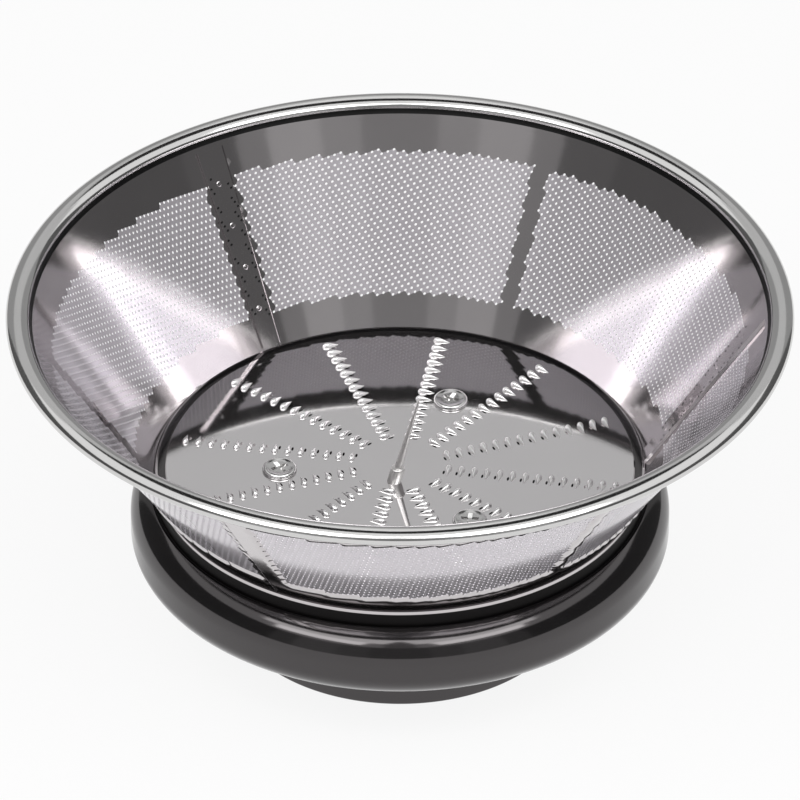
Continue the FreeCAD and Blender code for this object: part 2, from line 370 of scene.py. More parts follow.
SCREW_STEEL = Steel(
    "screw_steel", light=(0.62, 0.615, 0.61), dark=(0.54, 0.535, 0.53), roughness=0.16,
    roughness_change=0.06, wave_height=1e-5, wave_scale=400.0, mark_height=1e-6, grain=Grain.POLISHED)
PIN_STEEL = replace(
    SCREW_STEEL, name="pin_steel", light=(0.66, 0.65, 0.64), dark=(0.58, 0.57, 0.56), roughness=0.36,
    roughness_change=0.08)
BASE_PLASTIC = Plastic(
    "base_plastic", deep=(0.0028, 0.0027, 0.0029), hazy=(0.0044, 0.0042, 0.0044), roughness=0.1,
    skin_height=3e-6, lean=1.18, ior=1.75)
NECK_PLASTIC = replace(
    BASE_PLASTIC, name="neck_plastic", deep=(0.0028, 0.0025, 0.0026), hazy=(0.0044, 0.004, 0.0041),
    roughness=0.5, lean=1.0, ior=1.25)


@dataclass
class Draft:
    """Points and faces of one piece, gathered in millimetres."""

    points: list[np.ndarray] = field(default_factory=list)
    faces: Faces = field(default_factory=list)
    finishes: list[int] = field(default_factory=list)
    count: int = 0

    def add(self, points: np.ndarray, faces: Faces, finishes: list[int] | None = None) -> None:
        """Adds points and faces, with the number of each face's finish where there are several.

        Args:
            points: The points of the patch.
            faces: Its faces, numbered within the patch.
            finishes: Number of each face's finish, or none where all have the first.
        """
        self.points.append(np.asarray(points, float))
        self.faces += [tuple(int(i) + self.count for i in face) for face in faces]
        self.finishes += finishes or [0] * len(faces)
        self.count += len(points)

    def piece(self, name: str, finish: Union[Material, list[Material]], slot: str,
              smooth_below: float = 40.0) -> bpy.types.Object:
        """Makes the draft into a piece that rides on the part.

        Args:
            name: Name of the piece.
            finish: Its material, or the materials that its faces number.
            slot: Name of the record's material slot; not used.
            smooth_below: Edges that turn by less than this angle are shaded smooth.

        Returns:
            The object.
        """
        mesh = bpy.data.meshes.new(name)
        mesh.from_pydata((np.vstack(self.points) * MM).tolist(), [], self.faces)
        for made in finish if isinstance(finish, list) else [finish]:
            mesh.materials.append(made)
        mesh.polygons.foreach_set("material_index", self.finishes)
        shape = bmesh.new()
        shape.from_mesh(mesh)
        bmesh.ops.remove_doubles(shape, verts=shape.verts, dist=MERGE_DISTANCE * MM)
        bmesh.ops.dissolve_degenerate(shape, edges=shape.edges, dist=MERGE_DISTANCE * MM)
        bmesh.ops.recalc_face_normals(shape, faces=shape.faces)
        shape.to_mesh(mesh)
        shape.free()
        mesh.shade_smooth()
        mesh.set_sharp_from_angle(angle=math.radians(smooth_below))
        made = bpy.data.objects.new(name, mesh)
        bpy.context.scene.collection.objects.link(made)
        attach(made, "root")
        LOG.info("piece %s: %d faces", name, len(mesh.polygons))
        return made


def circle(radius: float, steps: int, centre: Pair = (0.0, 0.0)) -> np.ndarray:
    """Points of a circle in a plane, counter-clockwise."""
    turns = np.arange(steps) * 2 * math.pi / steps
    return np.column_stack([centre[0] + radius * np.cos(turns), centre[1] + radius * np.sin(turns)])


def arc(centre: Pair, radius: float, first: float, last: float, steps: int = 12) -> np.ndarray:
    """Points of an arc in a plane, between two angles in degrees."""
    turns = np.radians(np.linspace(first, last, steps + 1))
    return np.column_stack([centre[0] + radius * np.cos(turns), centre[1] + radius * np.sin(turns)])


def polar(radius: float, angle: float) -> Pair:
    """Plan place at a radius and an angle in degrees."""
    return radius * math.cos(math.radians(angle)), radius * math.sin(math.radians(angle))


def turned(points: np.ndarray, angle: float) -> np.ndarray:
    """Points turned about the axis by an angle in degrees.

    Args:
        points: Points in the plane or in space.
        angle: The angle, counter-clockwise.

    Returns:
        The turned points.
    """
    turn = math.radians(angle)
    moved = np.array(points, float)
    moved[:, 0] = points[:, 0] * math.cos(turn) - points[:, 1] * math.sin(turn)
    moved[:, 1] = points[:, 0] * math.sin(turn) + points[:, 1] * math.cos(turn)
    return moved


def rounded(corners: list[Triple], steps: int = 8) -> np.ndarray:
    """Open outline with a fillet at each inner corner.

    Args:
        corners: Two coordinates and a fillet radius for each corner.
        steps: Steps of a fillet.

    Returns:
        The outline's points.
    """
    points = [np.array(corners[0][:2])]
    for before, here, after in zip(corners, corners[1:], corners[2:]):
        place = np.array(here[:2])
        if here[2] == 0:
            points.append(place)
            continue
        back = np.array(before[:2]) - place
        ahead = np.array(after[:2]) - place
        back /= np.linalg.norm(back)
        ahead /= np.linalg.norm(ahead)
        half = math.acos(float(np.clip(back @ ahead, -1, 1))) / 2
        reach = here[2] / math.tan(half)
        middle = (back + ahead) / np.linalg.norm(back + ahead)
        centre = place + middle * here[2] / math.sin(half)
        start = place + back * reach - centre
        end = place + ahead * reach - centre
        sweep = math.atan2(start[0] * end[1] - start[1] * end[0], start @ end)
        for turn in np.linspace(0, sweep, steps + 1):
            points.append(centre + np.array([
                start[0] * math.cos(turn) - start[1] * math.sin(turn),
                start[0] * math.sin(turn) + start[1] * math.cos(turn)]))
    points.append(np.array(corners[-1][:2]))
    return np.array(points)


def lathe(profile: np.ndarray, steps: int = ROUND_STEPS, closed: bool = False) -> tuple[np.ndarray, Faces]:
    """Surface swept about the axis by a profile of radii and heights.

    Args:
        profile: Radius and height of each point.
        steps: Steps around the axis.
        closed: Whether the profile's last point joins its first.

    Returns:
        Points and faces.
    """
    turns = np.arange(steps) * 2 * math.pi / steps
    rows = len(profile)
    points = np.empty((rows, steps, 3))
    points[:, :, 0] = profile[:, :1] * np.cos(turns)
    points[:, :, 1] = profile[:, :1] * np.sin(turns)
    points[:, :, 2] = profile[:, 1:2]
    faces = []
    for row in range(rows if closed else rows - 1):
        low = row * steps
        high = (row + 1) % rows * steps
        for step in range(steps):
            beside = (step + 1) % steps
            faces.append((low + step, low + beside, high + beside, high + step))
    return points.reshape(-1, 3), faces


def holds(loop: np.ndarray, spots: np.ndarray) -> np.ndarray:
    """Whether each spot is inside a closed loop, by counting crossings.

    Args:
        loop: The loop's points.
        spots: The spots in the same plane.

    Returns:
        True for each spot inside.
    """
    ahead = np.roll(loop, -1, axis=0)
    x, y = spots[:, :1], spots[:, 1:]
    spans = (loop[:, 1] > y) != (ahead[:, 1] > y)
    rise = np.where(ahead[:, 1] == loop[:, 1], 1.0, ahead[:, 1] - loop[:, 1])
    crossing = loop[:, 0] + (y - loop[:, 1]) * (ahead[:, 0] - loop[:, 0]) / rise
    return (spans & (x < crossing)).sum(axis=1) % 2 == 1


def filled(loops: list[np.ndarray], extra: np.ndarray | None = None) -> tuple[np.ndarray, np.ndarray]:
    """Triangles inside an outer loop and outside the loops within it.

    Args:
        loops: Closed loops of points in a plane, the outer one first.
        extra: More points to run the triangles through.

    Returns:
        The points in the plane, and three point numbers for each triangle.
    """
    edges = []
    owners = []
    for number, loop in enumerate(loops):
        start, count = len(owners), len(loop)
        edges += [(start + i, start + (i + 1) % count) for i in range(count)]
        owners += [number] * count
    points = np.vstack(loops if extra is None or not len(extra) else [*loops, extra])
    owners += [0] * (len(points) - len(owners))
    result = geometry.delaunay_2d_cdt(
        [Vector(p) for p in points.tolist()], edges, [], TRIANGLES_INSIDE, FLAT_TOLERANCE, False)
    flat = np.array([tuple(v) for v in result[0]])
    triangles = np.array(result[2], int)
    owner = np.array(owners)[triangles]
    alone = (owner[:, 0] == owner[:, 1]) & (owner[:, 1] == owner[:, 2]) & (owner[:, 0] > 0)
    middles = flat[triangles].mean(axis=1)
    kept = np.ones(len(triangles), bool)
    order = np.argsort(owner[:, 0], kind="stable")
    order = order[alone[order]]
    numbers, starts = np.unique(owner[order, 0], return_index=True)
    for number, group in zip(numbers, np.split(order, starts[1:])):
        kept[group] = ~holds(loops[number], middles[group])
    return flat, triangles[kept]


def listed(triangles: np.ndarray) -> Faces:
    """Triangles as plain faces."""
    return [tuple(triangle) for triangle in triangles.tolist()]


def grid_triangles(rows: int, columns: int) -> np.ndarray:
    """Two triangles for each cell of a grid of points.

    Args:
        rows: Rows of the grid.
        columns: Points of each row.

    Returns:
        Three point numbers for each triangle.
    """
    triangles = []
    for row in range(rows - 1):
        for column in range(columns - 1):
            here = row * columns + column
            above = here + columns
            triangles += [(here, here + 1, above + 1), (here, above + 1, above)]
    return np.array(triangles)


def ring_walls(count: int) -> Faces:
    """Faces between a loop of points and the loop of as many points after it."""
    return [(i, (i + 1) % count, count + (i + 1) % count, count + i) for i in range(count)]


def ring_caps(count: int) -> Faces:
    """Faces that close a loop of points and the loop of as many points after it."""
    return [tuple(range(count)), tuple(reversed(range(count, 2 * count)))]


def thickened(triangles: np.ndarray, near: np.ndarray, far: np.ndarray) -> tuple[np.ndarray, Faces]:
    """Closed plate between two layers of the same triangles.

    Args:
        triangles: Three point numbers each.
        near: The points of the first layer.
        far: The points of the second layer.

    Returns:
        Points and faces.
    """
    count = len(near)
    sides = np.vstack([triangles[:, [0, 1]], triangles[:, [1, 2]], triangles[:, [2, 0]]])
    keys = np.sort(sides, axis=1)
    _, first, uses = np.unique(keys, axis=0, return_index=True, return_counts=True)
    rims = sides[first[uses == 1]]
    faces = listed(triangles)
    faces += [(c + count, b + count, a + count) for a, b, c in triangles.tolist()]
    faces += [(b, a, a + count, b + count) for a, b in rims.tolist()]
    return np.vstack([near, far]), faces


def level(flat: np.ndarray, height: float) -> np.ndarray:
    """Flat points at one height."""
    return np.column_stack([flat, np.full(len(flat), height)])


@dataclass(frozen=True)
class FrameSizes:
    """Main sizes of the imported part, in millimetres, read from its nodes."""

    rim_radius: float
    rim_top: float
    leg_foot: float
    wall_foot: float
    wall_top: float
    disc_radius: float
    plate_top: float
    tooth_top: float
    skirt_radius: float
    shoulder_top: float
    head_top: float
    screw_tip: float
    pin_tip: float

    @classmethod
    def read(cls) -> "FrameSizes":
        """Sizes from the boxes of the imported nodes.

        Returns:
            The sizes.
        """
        rim_low, rim_high = (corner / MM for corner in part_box("rim_ring"))
        sheet_low, sheet_high = (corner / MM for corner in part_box("sieve_sheet_1"))
        disc_low, disc_high = (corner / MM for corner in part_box("grater_disc"))
        _, base_high = (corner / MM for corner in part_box("drive_base"))
        screw_low, screw_high = (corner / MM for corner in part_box("disc_screws"))
        _, pin_high = (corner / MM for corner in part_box("centre_pin"))
        return cls(
            rim_radius=rim_high.x, rim_top=rim_high.z, leg_foot=rim_low.z, wall_foot=sheet_low.z,
            wall_top=sheet_high.z, disc_radius=disc_high.x, plate_top=disc_low.z, tooth_top=disc_high.z,
            skirt_radius=base_high.x, shoulder_top=base_high.z, head_top=screw_high.z,
            screw_tip=screw_low.z, pin_tip=pin_high.z)


@dataclass(frozen=True)
class Cone:
    """The sieve wall's inner face, which can be rolled out flat."""

    foot_radius: float
    foot_height: float
    angle: float

    @property
    def sine(self) -> float:
        """Sine of the wall's angle from the upright."""
        return math.sin(math.radians(self.angle))

    @property
    def cosine(self) -> float:
        """Cosine of the wall's angle from the upright."""
        return math.cos(math.radians(self.angle))

    @property
    def foot_reach(self) -> float:
        """Distance up the slope from the cone's point to the wall's foot."""
        return self.foot_radius / self.sine

    def radius(self, height: float) -> float:
        """Radius of the inner face at a height."""
        return self.foot_radius + (height - self.foot_height) * self.sine / self.cosine

    def rolled_out(self, turn: np.ndarray, slope: np.ndarray, upright: float) -> np.ndarray:
        """Flat places of points on the wall, seen from inside.

        Args:
            turn: Angles about the axis, in degrees.
            slope: Distances up the slope from the wall's foot.
            upright: The angle whose line up the slope stands upright in the flat.

        Returns:
            Flat points, with the cone's point at the origin.
        """
        reach = self.foot_reach + np.asarray(slope, float)
        swing = np.radians(np.asarray(turn, float) - upright) * self.sine
        return np.column_stack([-reach * np.sin(swing), reach * np.cos(swing)])

    def read_back(self, flat: np.ndarray, upright: float) -> tuple[np.ndarray, np.ndarray]:
        """Angles about the axis and distances up the slope of flat points.

        Args:
            flat: The flat points.
            upright: The angle that stands upright in the flat.

        Returns:
            The angles in degrees, and the distances.
        """
        reach = np.hypot(flat[:, 0], flat[:, 1])
        swing = np.arctan2(-flat[:, 0], flat[:, 1])
        return np.degrees(swing / self.sine) + upright, reach - self.foot_reach

    def laid(self, flat: np.ndarray, upright: float, depth: Union[float, np.ndarray]) -> np.ndarray:
        """Flat points laid on the wall, each a depth outwards from its inner face.

        Args:
            flat: The flat points.
            upright: The angle that stands upright in the flat.
            depth: One depth, or one for each point.

        Returns:
            The points in space.
        """
        turn, slope = self.read_back(flat, upright)
        swing = np.radians(turn)
        radius = self.foot_radius + slope * self.sine + depth * self.cosine
        height = self.foot_height + slope * self.cosine - depth * self.sine
        return np.column_stack([radius * np.cos(swing), radius * np.sin(swing), height])


@dataclass
class SieveWall:
    """Three perforated steel sheets, lapped and spot-welded into a cone."""

    sizes: FrameSizes
    cone: Cone
    sheet_count: int = 3
    sheet_thickness: float = SHEET_THICKNESS
    mesh_thickness: float = 0.12
    lap_clearance: float = 0.05
    first_seam: float = 0.55
    seam_gap: float = 0.1
    lap_angle: float = 4.1
    joggle_angle: float = 0.8
    strip_shift: float = 4.85
    strip_angle: float = 2.0
    low_band: float = 6.4
    mesh_band: float = 29.0
    tongue_end_gap: float = 0.3
    tongue_columns: int = 8
    tongue_rows: int = 24
    row_angle: float = 19.5
    row_pitch: float = 1.295
    cross_angle: float = 64.7
    cross_pitch: float = 1.344
    hole_half_length: float = 0.29
    hole_half_width: float = 0.22
    hole_corners: int = 10
    rows_upright_at: float = 90.0
    edge_step: float = 1.2
    cover_steps: int = 60
    weld_pitch: float = 8.5
    weld_radius: float = 0.55
    weld_height: float = 0.06
    weld_steps: int = 14
    weld_rings: tuple[Pair, ...] = ((0.12, 0.35), (0.45, 0.4), (0.75, 1.0), (1.0, 0.0), (1.0, -0.5))
    closed_width: float = 0.85
    closed_margin: float = 0.15
    closed_rise: float = 0.01
    hem_height: float = 0.7
    hem_thickness: float = 0.2
    hem_clearance: float = 0.02
    hem_edge_share: float = 1 / 3

    @property
    def sheet_step(self) -> float:
        """Angle from one sheet to the next."""
        return 360.0 / self.sheet_count

    @property
    def tongue_face(self) -> float:
        """Depth of the inner face of a lap's tongue, which is inside the wall."""
        return -self.sheet_thickness - self.lap_clearance

    @property
    def foot_slope(self) -> float:
        """Slope place at which the sheet's outer edge stands on the ledge."""
        return self.sheet_thickness * self.cone.sine / self.cone.cosine

    @property
    def top_slope(self) -> float:
        """Slope place of the sheet's top edge."""
        return (self.sizes.wall_top - self.sizes.wall_foot) / self.cone.cosine

    def start(self, number: int) -> float:
        """Angle at which a sheet starts."""
        return self.first_seam + number * self.sheet_step

    def upright(self, number: int) -> float:
        """Angle whose line up the slope stands upright when a sheet is rolled out."""
        return self.rows_upright_at + number * self.sheet_step

    def fields(self, start: float) -> list[Pair]:
        """Angles between which a sheet that starts at an angle is perforated.

        Args:
            start: The angle at which the sheet starts.

        Returns:
            First and last angle of each field.
        """
        strip_start = start + self.sheet_step / 2 + self.strip_shift - self.strip_angle / 2
        end = start + self.sheet_step - self.joggle_angle
        return [(start + self.lap_angle, strip_start), (strip_start + self.strip_angle, end)]

    def lattice(self, start: float, upright: float) -> np.ndarray:
        """Flat places of the straight rows that cover a sheet.

        Args:
            start: The angle at which the sheet starts.
            upright: The angle that stands upright in the flat.

        Returns:
            The middles of the holes.
        """
        corners = self.cone.rolled_out(
            np.linspace(start, start + self.sheet_step + self.lap_angle, self.cover_steps).repeat(2),
            np.tile([0.0, self.top_slope], self.cover_steps), upright)
        basis = np.column_stack([
            polar(self.row_pitch, self.row_angle), polar(self.cross_pitch, self.cross_angle)])
        counts = np.linalg.solve(basis, corners.T)
        first = np.arange(math.floor(counts[0].min()), math.ceil(counts[0].max()) + 1)
        second = np.arange(math.floor(counts[1].min()), math.ceil(counts[1].max()) + 1)
        grid = np.stack(np.meshgrid(first, second), -1).reshape(-1, 2)
        return grid @ basis.T

    def hole_loop(self) -> np.ndarray:
        """Outline of one slanted oval hole about its middle.

        Returns:
            The outline's points.
        """
        tilt = (self.row_angle + self.cross_angle) / 2
        half_sizes = np.array([self.hole_half_length, self.hole_half_width])
        return turned(circle(1.0, self.hole_corners) * half_sizes, tilt)

    def outline(self, start: float, upright: float) -> np.ndarray:
        """Flat outline of a sheet's body.

        Args:
            start: The angle at which the sheet starts.
            upright: The angle that stands upright in the flat.

        Returns:
            The outline's points.
        """
        first = start + self.seam_gap
        last = start + self.sheet_step
        around = int(math.radians(self.sheet_step) * self.sizes.rim_radius / self.edge_step)
        up = int((self.top_slope - self.foot_slope) / self.edge_step)
        turn = np.linspace(first, last, around)
        slope = np.linspace(self.foot_slope, self.top_slope, up)[1:-1]
        places = np.concatenate([
            np.column_stack([turn, np.full(around, self.foot_slope)]),
            np.column_stack([np.full(len(slope), last), slope]),
            np.column_stack([turn[::-1], np.full(around, self.top_slope)]),
            np.column_stack([np.full(len(slope), first), slope[::-1]])])
        return self.cone.rolled_out(places[:, 0], places[:, 1], upright)

    def sheet(self, number: int, finishes: list[Material]) -> bpy.types.Object:
        """Builds one sheet with its true perforations.

        Args:
            number: Which sheet, from 0.
            finishes: The materials of its plain bands and of its perforated fields.

        Returns:
            The piece.
        """
        start, upright = self.start(number), self.upright(number)
        spots = self.lattice(start, upright)
        turn, slope = self.cone.read_back(spots, upright)
        per_degree = math.radians(1) * (self.cone.foot_radius + slope * self.cone.sine)
        margin = self.hole_half_length
        in_band = (slope > self.low_band + margin) & (slope < self.low_band + self.mesh_band - margin)
        holed = np.zeros(len(spots), bool)
        for first, last in self.fields(start):
            holed |= ((turn - first) * per_degree > margin) & ((last - turn) * per_degree > margin)
        holed &= in_band
        first, last = start + self.seam_gap, start + self.sheet_step
        half_step = self.edge_step / 2
        inside = ((turn - first) * per_degree > half_step) & ((last - turn) * per_degree > half_step)
        inside &= (slope > self.foot_slope + half_step) & (slope < self.top_slope - half_step)
        hole = self.hole_loop()
        loops = [self.outline(start, upright)] + [spot + hole for spot in spots[holed]]
        flat, triangles = filled(loops, spots[inside & ~holed])
        depth = np.full(len(flat), self.sheet_thickness)
        depth[len(loops[0]):sum(len(loop) for loop in loops)] = self.mesh_thickness
        points, faces = thickened(
            triangles, self.cone.laid(flat, upright, 0.0), self.cone.laid(flat, upright, depth))
        in_mesh = (depth[triangles] == self.mesh_thickness).all(axis=1).astype(int).tolist()
        draft = Draft()
        edges = [1] * (len(faces) - 2 * len(in_mesh))
        draft.add(points, faces, in_mesh + in_mesh + edges)
        made = draft.piece(f"perforated_sheet_{number + 1}", finishes, "sieve_steel", smooth_below=50.0)
        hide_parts(f"sieve_sheet_{number + 1}")
        LOG.info("sheet %d has %d perforations", number + 1, int(holed.sum()))
        return made

    def lap(self, number: int, finish: Material) -> bpy.types.Object:
        """Builds the stepped tongue by which a sheet laps over the next one inside.

        Args:
            number: Which sheet, from 0.
            finish: Its material.

        Returns:
            The piece.
        """
        end = self.start(number + 1)
        low = (self.sizes.shoulder_top + self.tongue_end_gap - self.sizes.wall_foot) / self.cone.cosine
        high = (self.sizes.leg_foot - self.tongue_end_gap - self.sizes.wall_foot) / self.cone.cosine
        turns = np.concatenate([
            [end - self.joggle_angle, end - self.joggle_angle / 2],
            np.linspace(end, end + self.lap_angle, self.tongue_columns)])
        slopes = np.linspace(low, high, self.tongue_rows)
        turn, slope = (grid.ravel() for grid in np.meshgrid(turns, slopes))
        flat = self.cone.rolled_out(turn, slope, end)
        near = self.cone.laid(flat, end, self.tongue_face)
        root = self.cone.laid(flat, end, 0.0)
        far = self.cone.laid(flat, end, -self.lap_clearance)
        near[turn == turns[0]] = far[turn == turns[0]]
        far[turn < end] = root[turn < end]
        draft = Draft()
        draft.add(*thickened(grid_triangles(len(slopes), len(turns)), near, far))
        return draft.piece(f"lap_tongue_{number + 1}", finish, "sieve_steel", smooth_below=30.0)

    def welds(self, number: int, finish: Material) -> bpy.types.Object:
        """Builds the row of spot-weld marks on a lap tongue.

        Args:
            number: Which sheet, from 0.
            finish: Its material.

        Returns:
            The piece.
        """
        middle = self.start(number + 1) + self.lap_angle / 2
        steps, rings = self.weld_steps, len(self.weld_rings)
        faces = [tuple(range(steps)), tuple(reversed(range((rings - 1) * steps, rings * steps)))]
        for ring in range(rings - 1):
            faces += [tuple(ring * steps + i for i in wall) for wall in ring_walls(steps)]
        draft = Draft()
        for slope in np.arange(self.weld_pitch, self.top_slope - self.weld_pitch, self.weld_pitch):
            centre = self.cone.rolled_out(np.array([middle]), np.array([slope]), middle)[0]
            layers = [
                self.cone.laid(circle(self.weld_radius * share, steps, tuple(centre)), middle,
                               self.tongue_face - self.weld_height * rise)
                for share, rise in self.weld_rings]
            draft.add(np.vstack(layers), faces)
        return draft.piece(f"spot_welds_{number + 1}", finish, "sieve_steel", smooth_below=60.0)

    def painted_hole_shadows(self, number: int, finish: Material) -> bpy.types.Object:
        """Builds dark discs along both edges of a lap, painted shade for the shadow in the perforations that
        the sheet behind closes.

        Args:
            number: Which sheet, from 0.
            finish: Its material.

        Returns:
            The piece.
        """
        end, upright = self.start(number + 1), self.upright(number)
        spots = self.lattice(self.start(number), upright)
        turn, slope = self.cone.read_back(spots, upright)
        past = turn - end
        before = self.lap_angle - past
        seam = (past > -self.closed_margin) & (past < self.closed_width - self.closed_margin)
        edge = (before > self.closed_margin) & (before < self.closed_width)
        in_band = (slope > self.low_band) & (slope < self.low_band + self.mesh_band)
        hole = self.hole_loop()
        faces = ring_caps(len(hole)) + ring_walls(len(hole))
        draft = Draft()
        for spot in spots[(seam | edge) & in_band]:
            draft.add(np.vstack([
                self.cone.laid(spot + hole, upright, self.tongue_face + rise)
                for rise in (-self.closed_rise, self.closed_rise)]), faces)
        return draft.piece(f"closed_holes_{number + 1}", finish, "sieve_steel", smooth_below=30.0)

    def hem(self, finish: Material) -> bpy.types.Object:
        """Builds the thin hem at the wall's foot, which lies against the base's neck.

        Args:
            finish: Its material.

        Returns:
            The piece.
        """
        near = self.cone.foot_radius + self.sheet_thickness / self.cone.cosine + self.hem_clearance
        far = near + self.hem_thickness
        top = self.cone.foot_height
        bottom = top - self.hem_height
        edge = self.hem_thickness * self.hem_edge_share
        profile = rounded([
            (near, top, 0), (near, bottom, edge), (far, bottom, edge), (far, top, 0)], steps=4)
        draft = Draft()
        draft.add(*lathe(profile, closed=True))
        return draft.piece("wall_foot_hem", finish, "sieve_steel", smooth_below=35.0)

    def build(self) -> None:
        """Builds every sheet with its lap, welds and the painted shade of its closed holes, and the hem
        round the foot.
        """
        plain, mesh, shade = SIEVE_STEEL.material(), MESH_STEEL.material(), PAINTED_SHADE_STEEL.material()
        self.hem(plain)
        for number in range(self.sheet_count):
            self.sheet(number, [plain, mesh])
            self.lap(number, plain)
            self.welds(number, plain)
            # Dark discs in the closed perforations: painted shade.
            self.painted_hole_shadows(number, shade)


@dataclass
class RolledRim:
    """Steel rim with a leg inside the wall and a bead that curls out and under."""

    sizes: FrameSizes
    cone: Cone
    thickness: float = 0.5
    clearance: float = 0.05
    bead_width: float = 4.45
    bead_height: float = 3.2
    end_radius: float = 1.2
    curl_angle: float = 16.0
    # Share of the leg's height, under the bead, that is painted with shade.
    painted_shadow_share: float = 0.5

    def bead(self, inset: float) -> np.ndarray:
        """Points of the oval bead from the leg to the curled edge, set in from its outer face.

        Args:
            inset: How far the points are set in.

        Returns:
            Radius and height of each point.
        """
        middle = self.sizes.rim_radius - self.bead_width / 2
        height = self.sizes.rim_top - self.bead_height / 2
        reach = self.bead_width / 2 - self.end_radius
        broad = (reach ** 2 + (self.bead_height / 2) ** 2 - self.end_radius ** 2) / (
            self.bead_height - 2 * self.end_radius)
        drop = broad - self.bead_height / 2
        joint = math.degrees(math.atan2(drop, reach))
        return np.vstack([
            arc((middle - reach, height), self.end_radius - inset, 180, 180 - joint),
            arc((middle, height - drop), broad - inset, 180 - joint, joint)[1:],
            arc((middle + reach, height), self.end_radius - inset, joint, -joint)[1:],
            arc((middle, height + drop), broad - inset, -joint, -90 - self.curl_angle)[1:]])

    def build(self) -> None:
        """Builds the rim."""
        foot = self.cone.radius(self.sizes.leg_foot) - (self.clearance + self.thickness) / self.cone.cosine
        leg = np.array([
            [foot + self.thickness / self.cone.cosine, self.sizes.leg_foot],
            [foot, self.sizes.leg_foot]])
        bead = self.bead(0.0)
        painted_shadow_foot = leg[1:] + (1 - self.painted_shadow_share) * (bead[:1] - leg[1:])
        profile = np.vstack([leg, painted_shadow_foot, bead, self.bead(self.thickness)[::-1]])
        points, faces = lathe(profile, closed=True)
        # The leg's lower part takes the sieve's steel, and its upper part under the bead the near-black
        # steel: a painted shadow line for the crimp's shade.
        leg_finish, painted_shadow_finish = 1, 2
        bands = {len(leg) - 1: leg_finish, len(leg): painted_shadow_finish}
        numbers = [bands.get(row, 0) for row in range(len(profile)) for _ in range(ROUND_STEPS)]
        draft = Draft()
        draft.add(points, faces, numbers)
        finishes = [RIM_STEEL.material(), SIEVE_STEEL.material(), PAINTED_SHADE_STEEL.material()]
        made = draft.piece("rolled_rim", finishes, "rim_steel", smooth_below=35.0)
        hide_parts("rim_ring")


@dataclass
class FixingPlaces:
    """Where the screws and the pin stand on the disc."""

    screw_count: int = 3
    screw_circle: float = 23.2
    first_screw: float = 65.0
    pin_x: float = -1.15
    pin_y: float = -5.7

    def screw_angles(self) -> list[float]:
        """Angle of each screw."""
        return [self.first_screw + index * 360.0 / self.screw_count for index in range(self.screw_count)]

    def screw_places(self) -> list[Pair]:
        """Plan place of each screw."""
        return [polar(self.screw_circle, angle) for angle in self.screw_angles()]


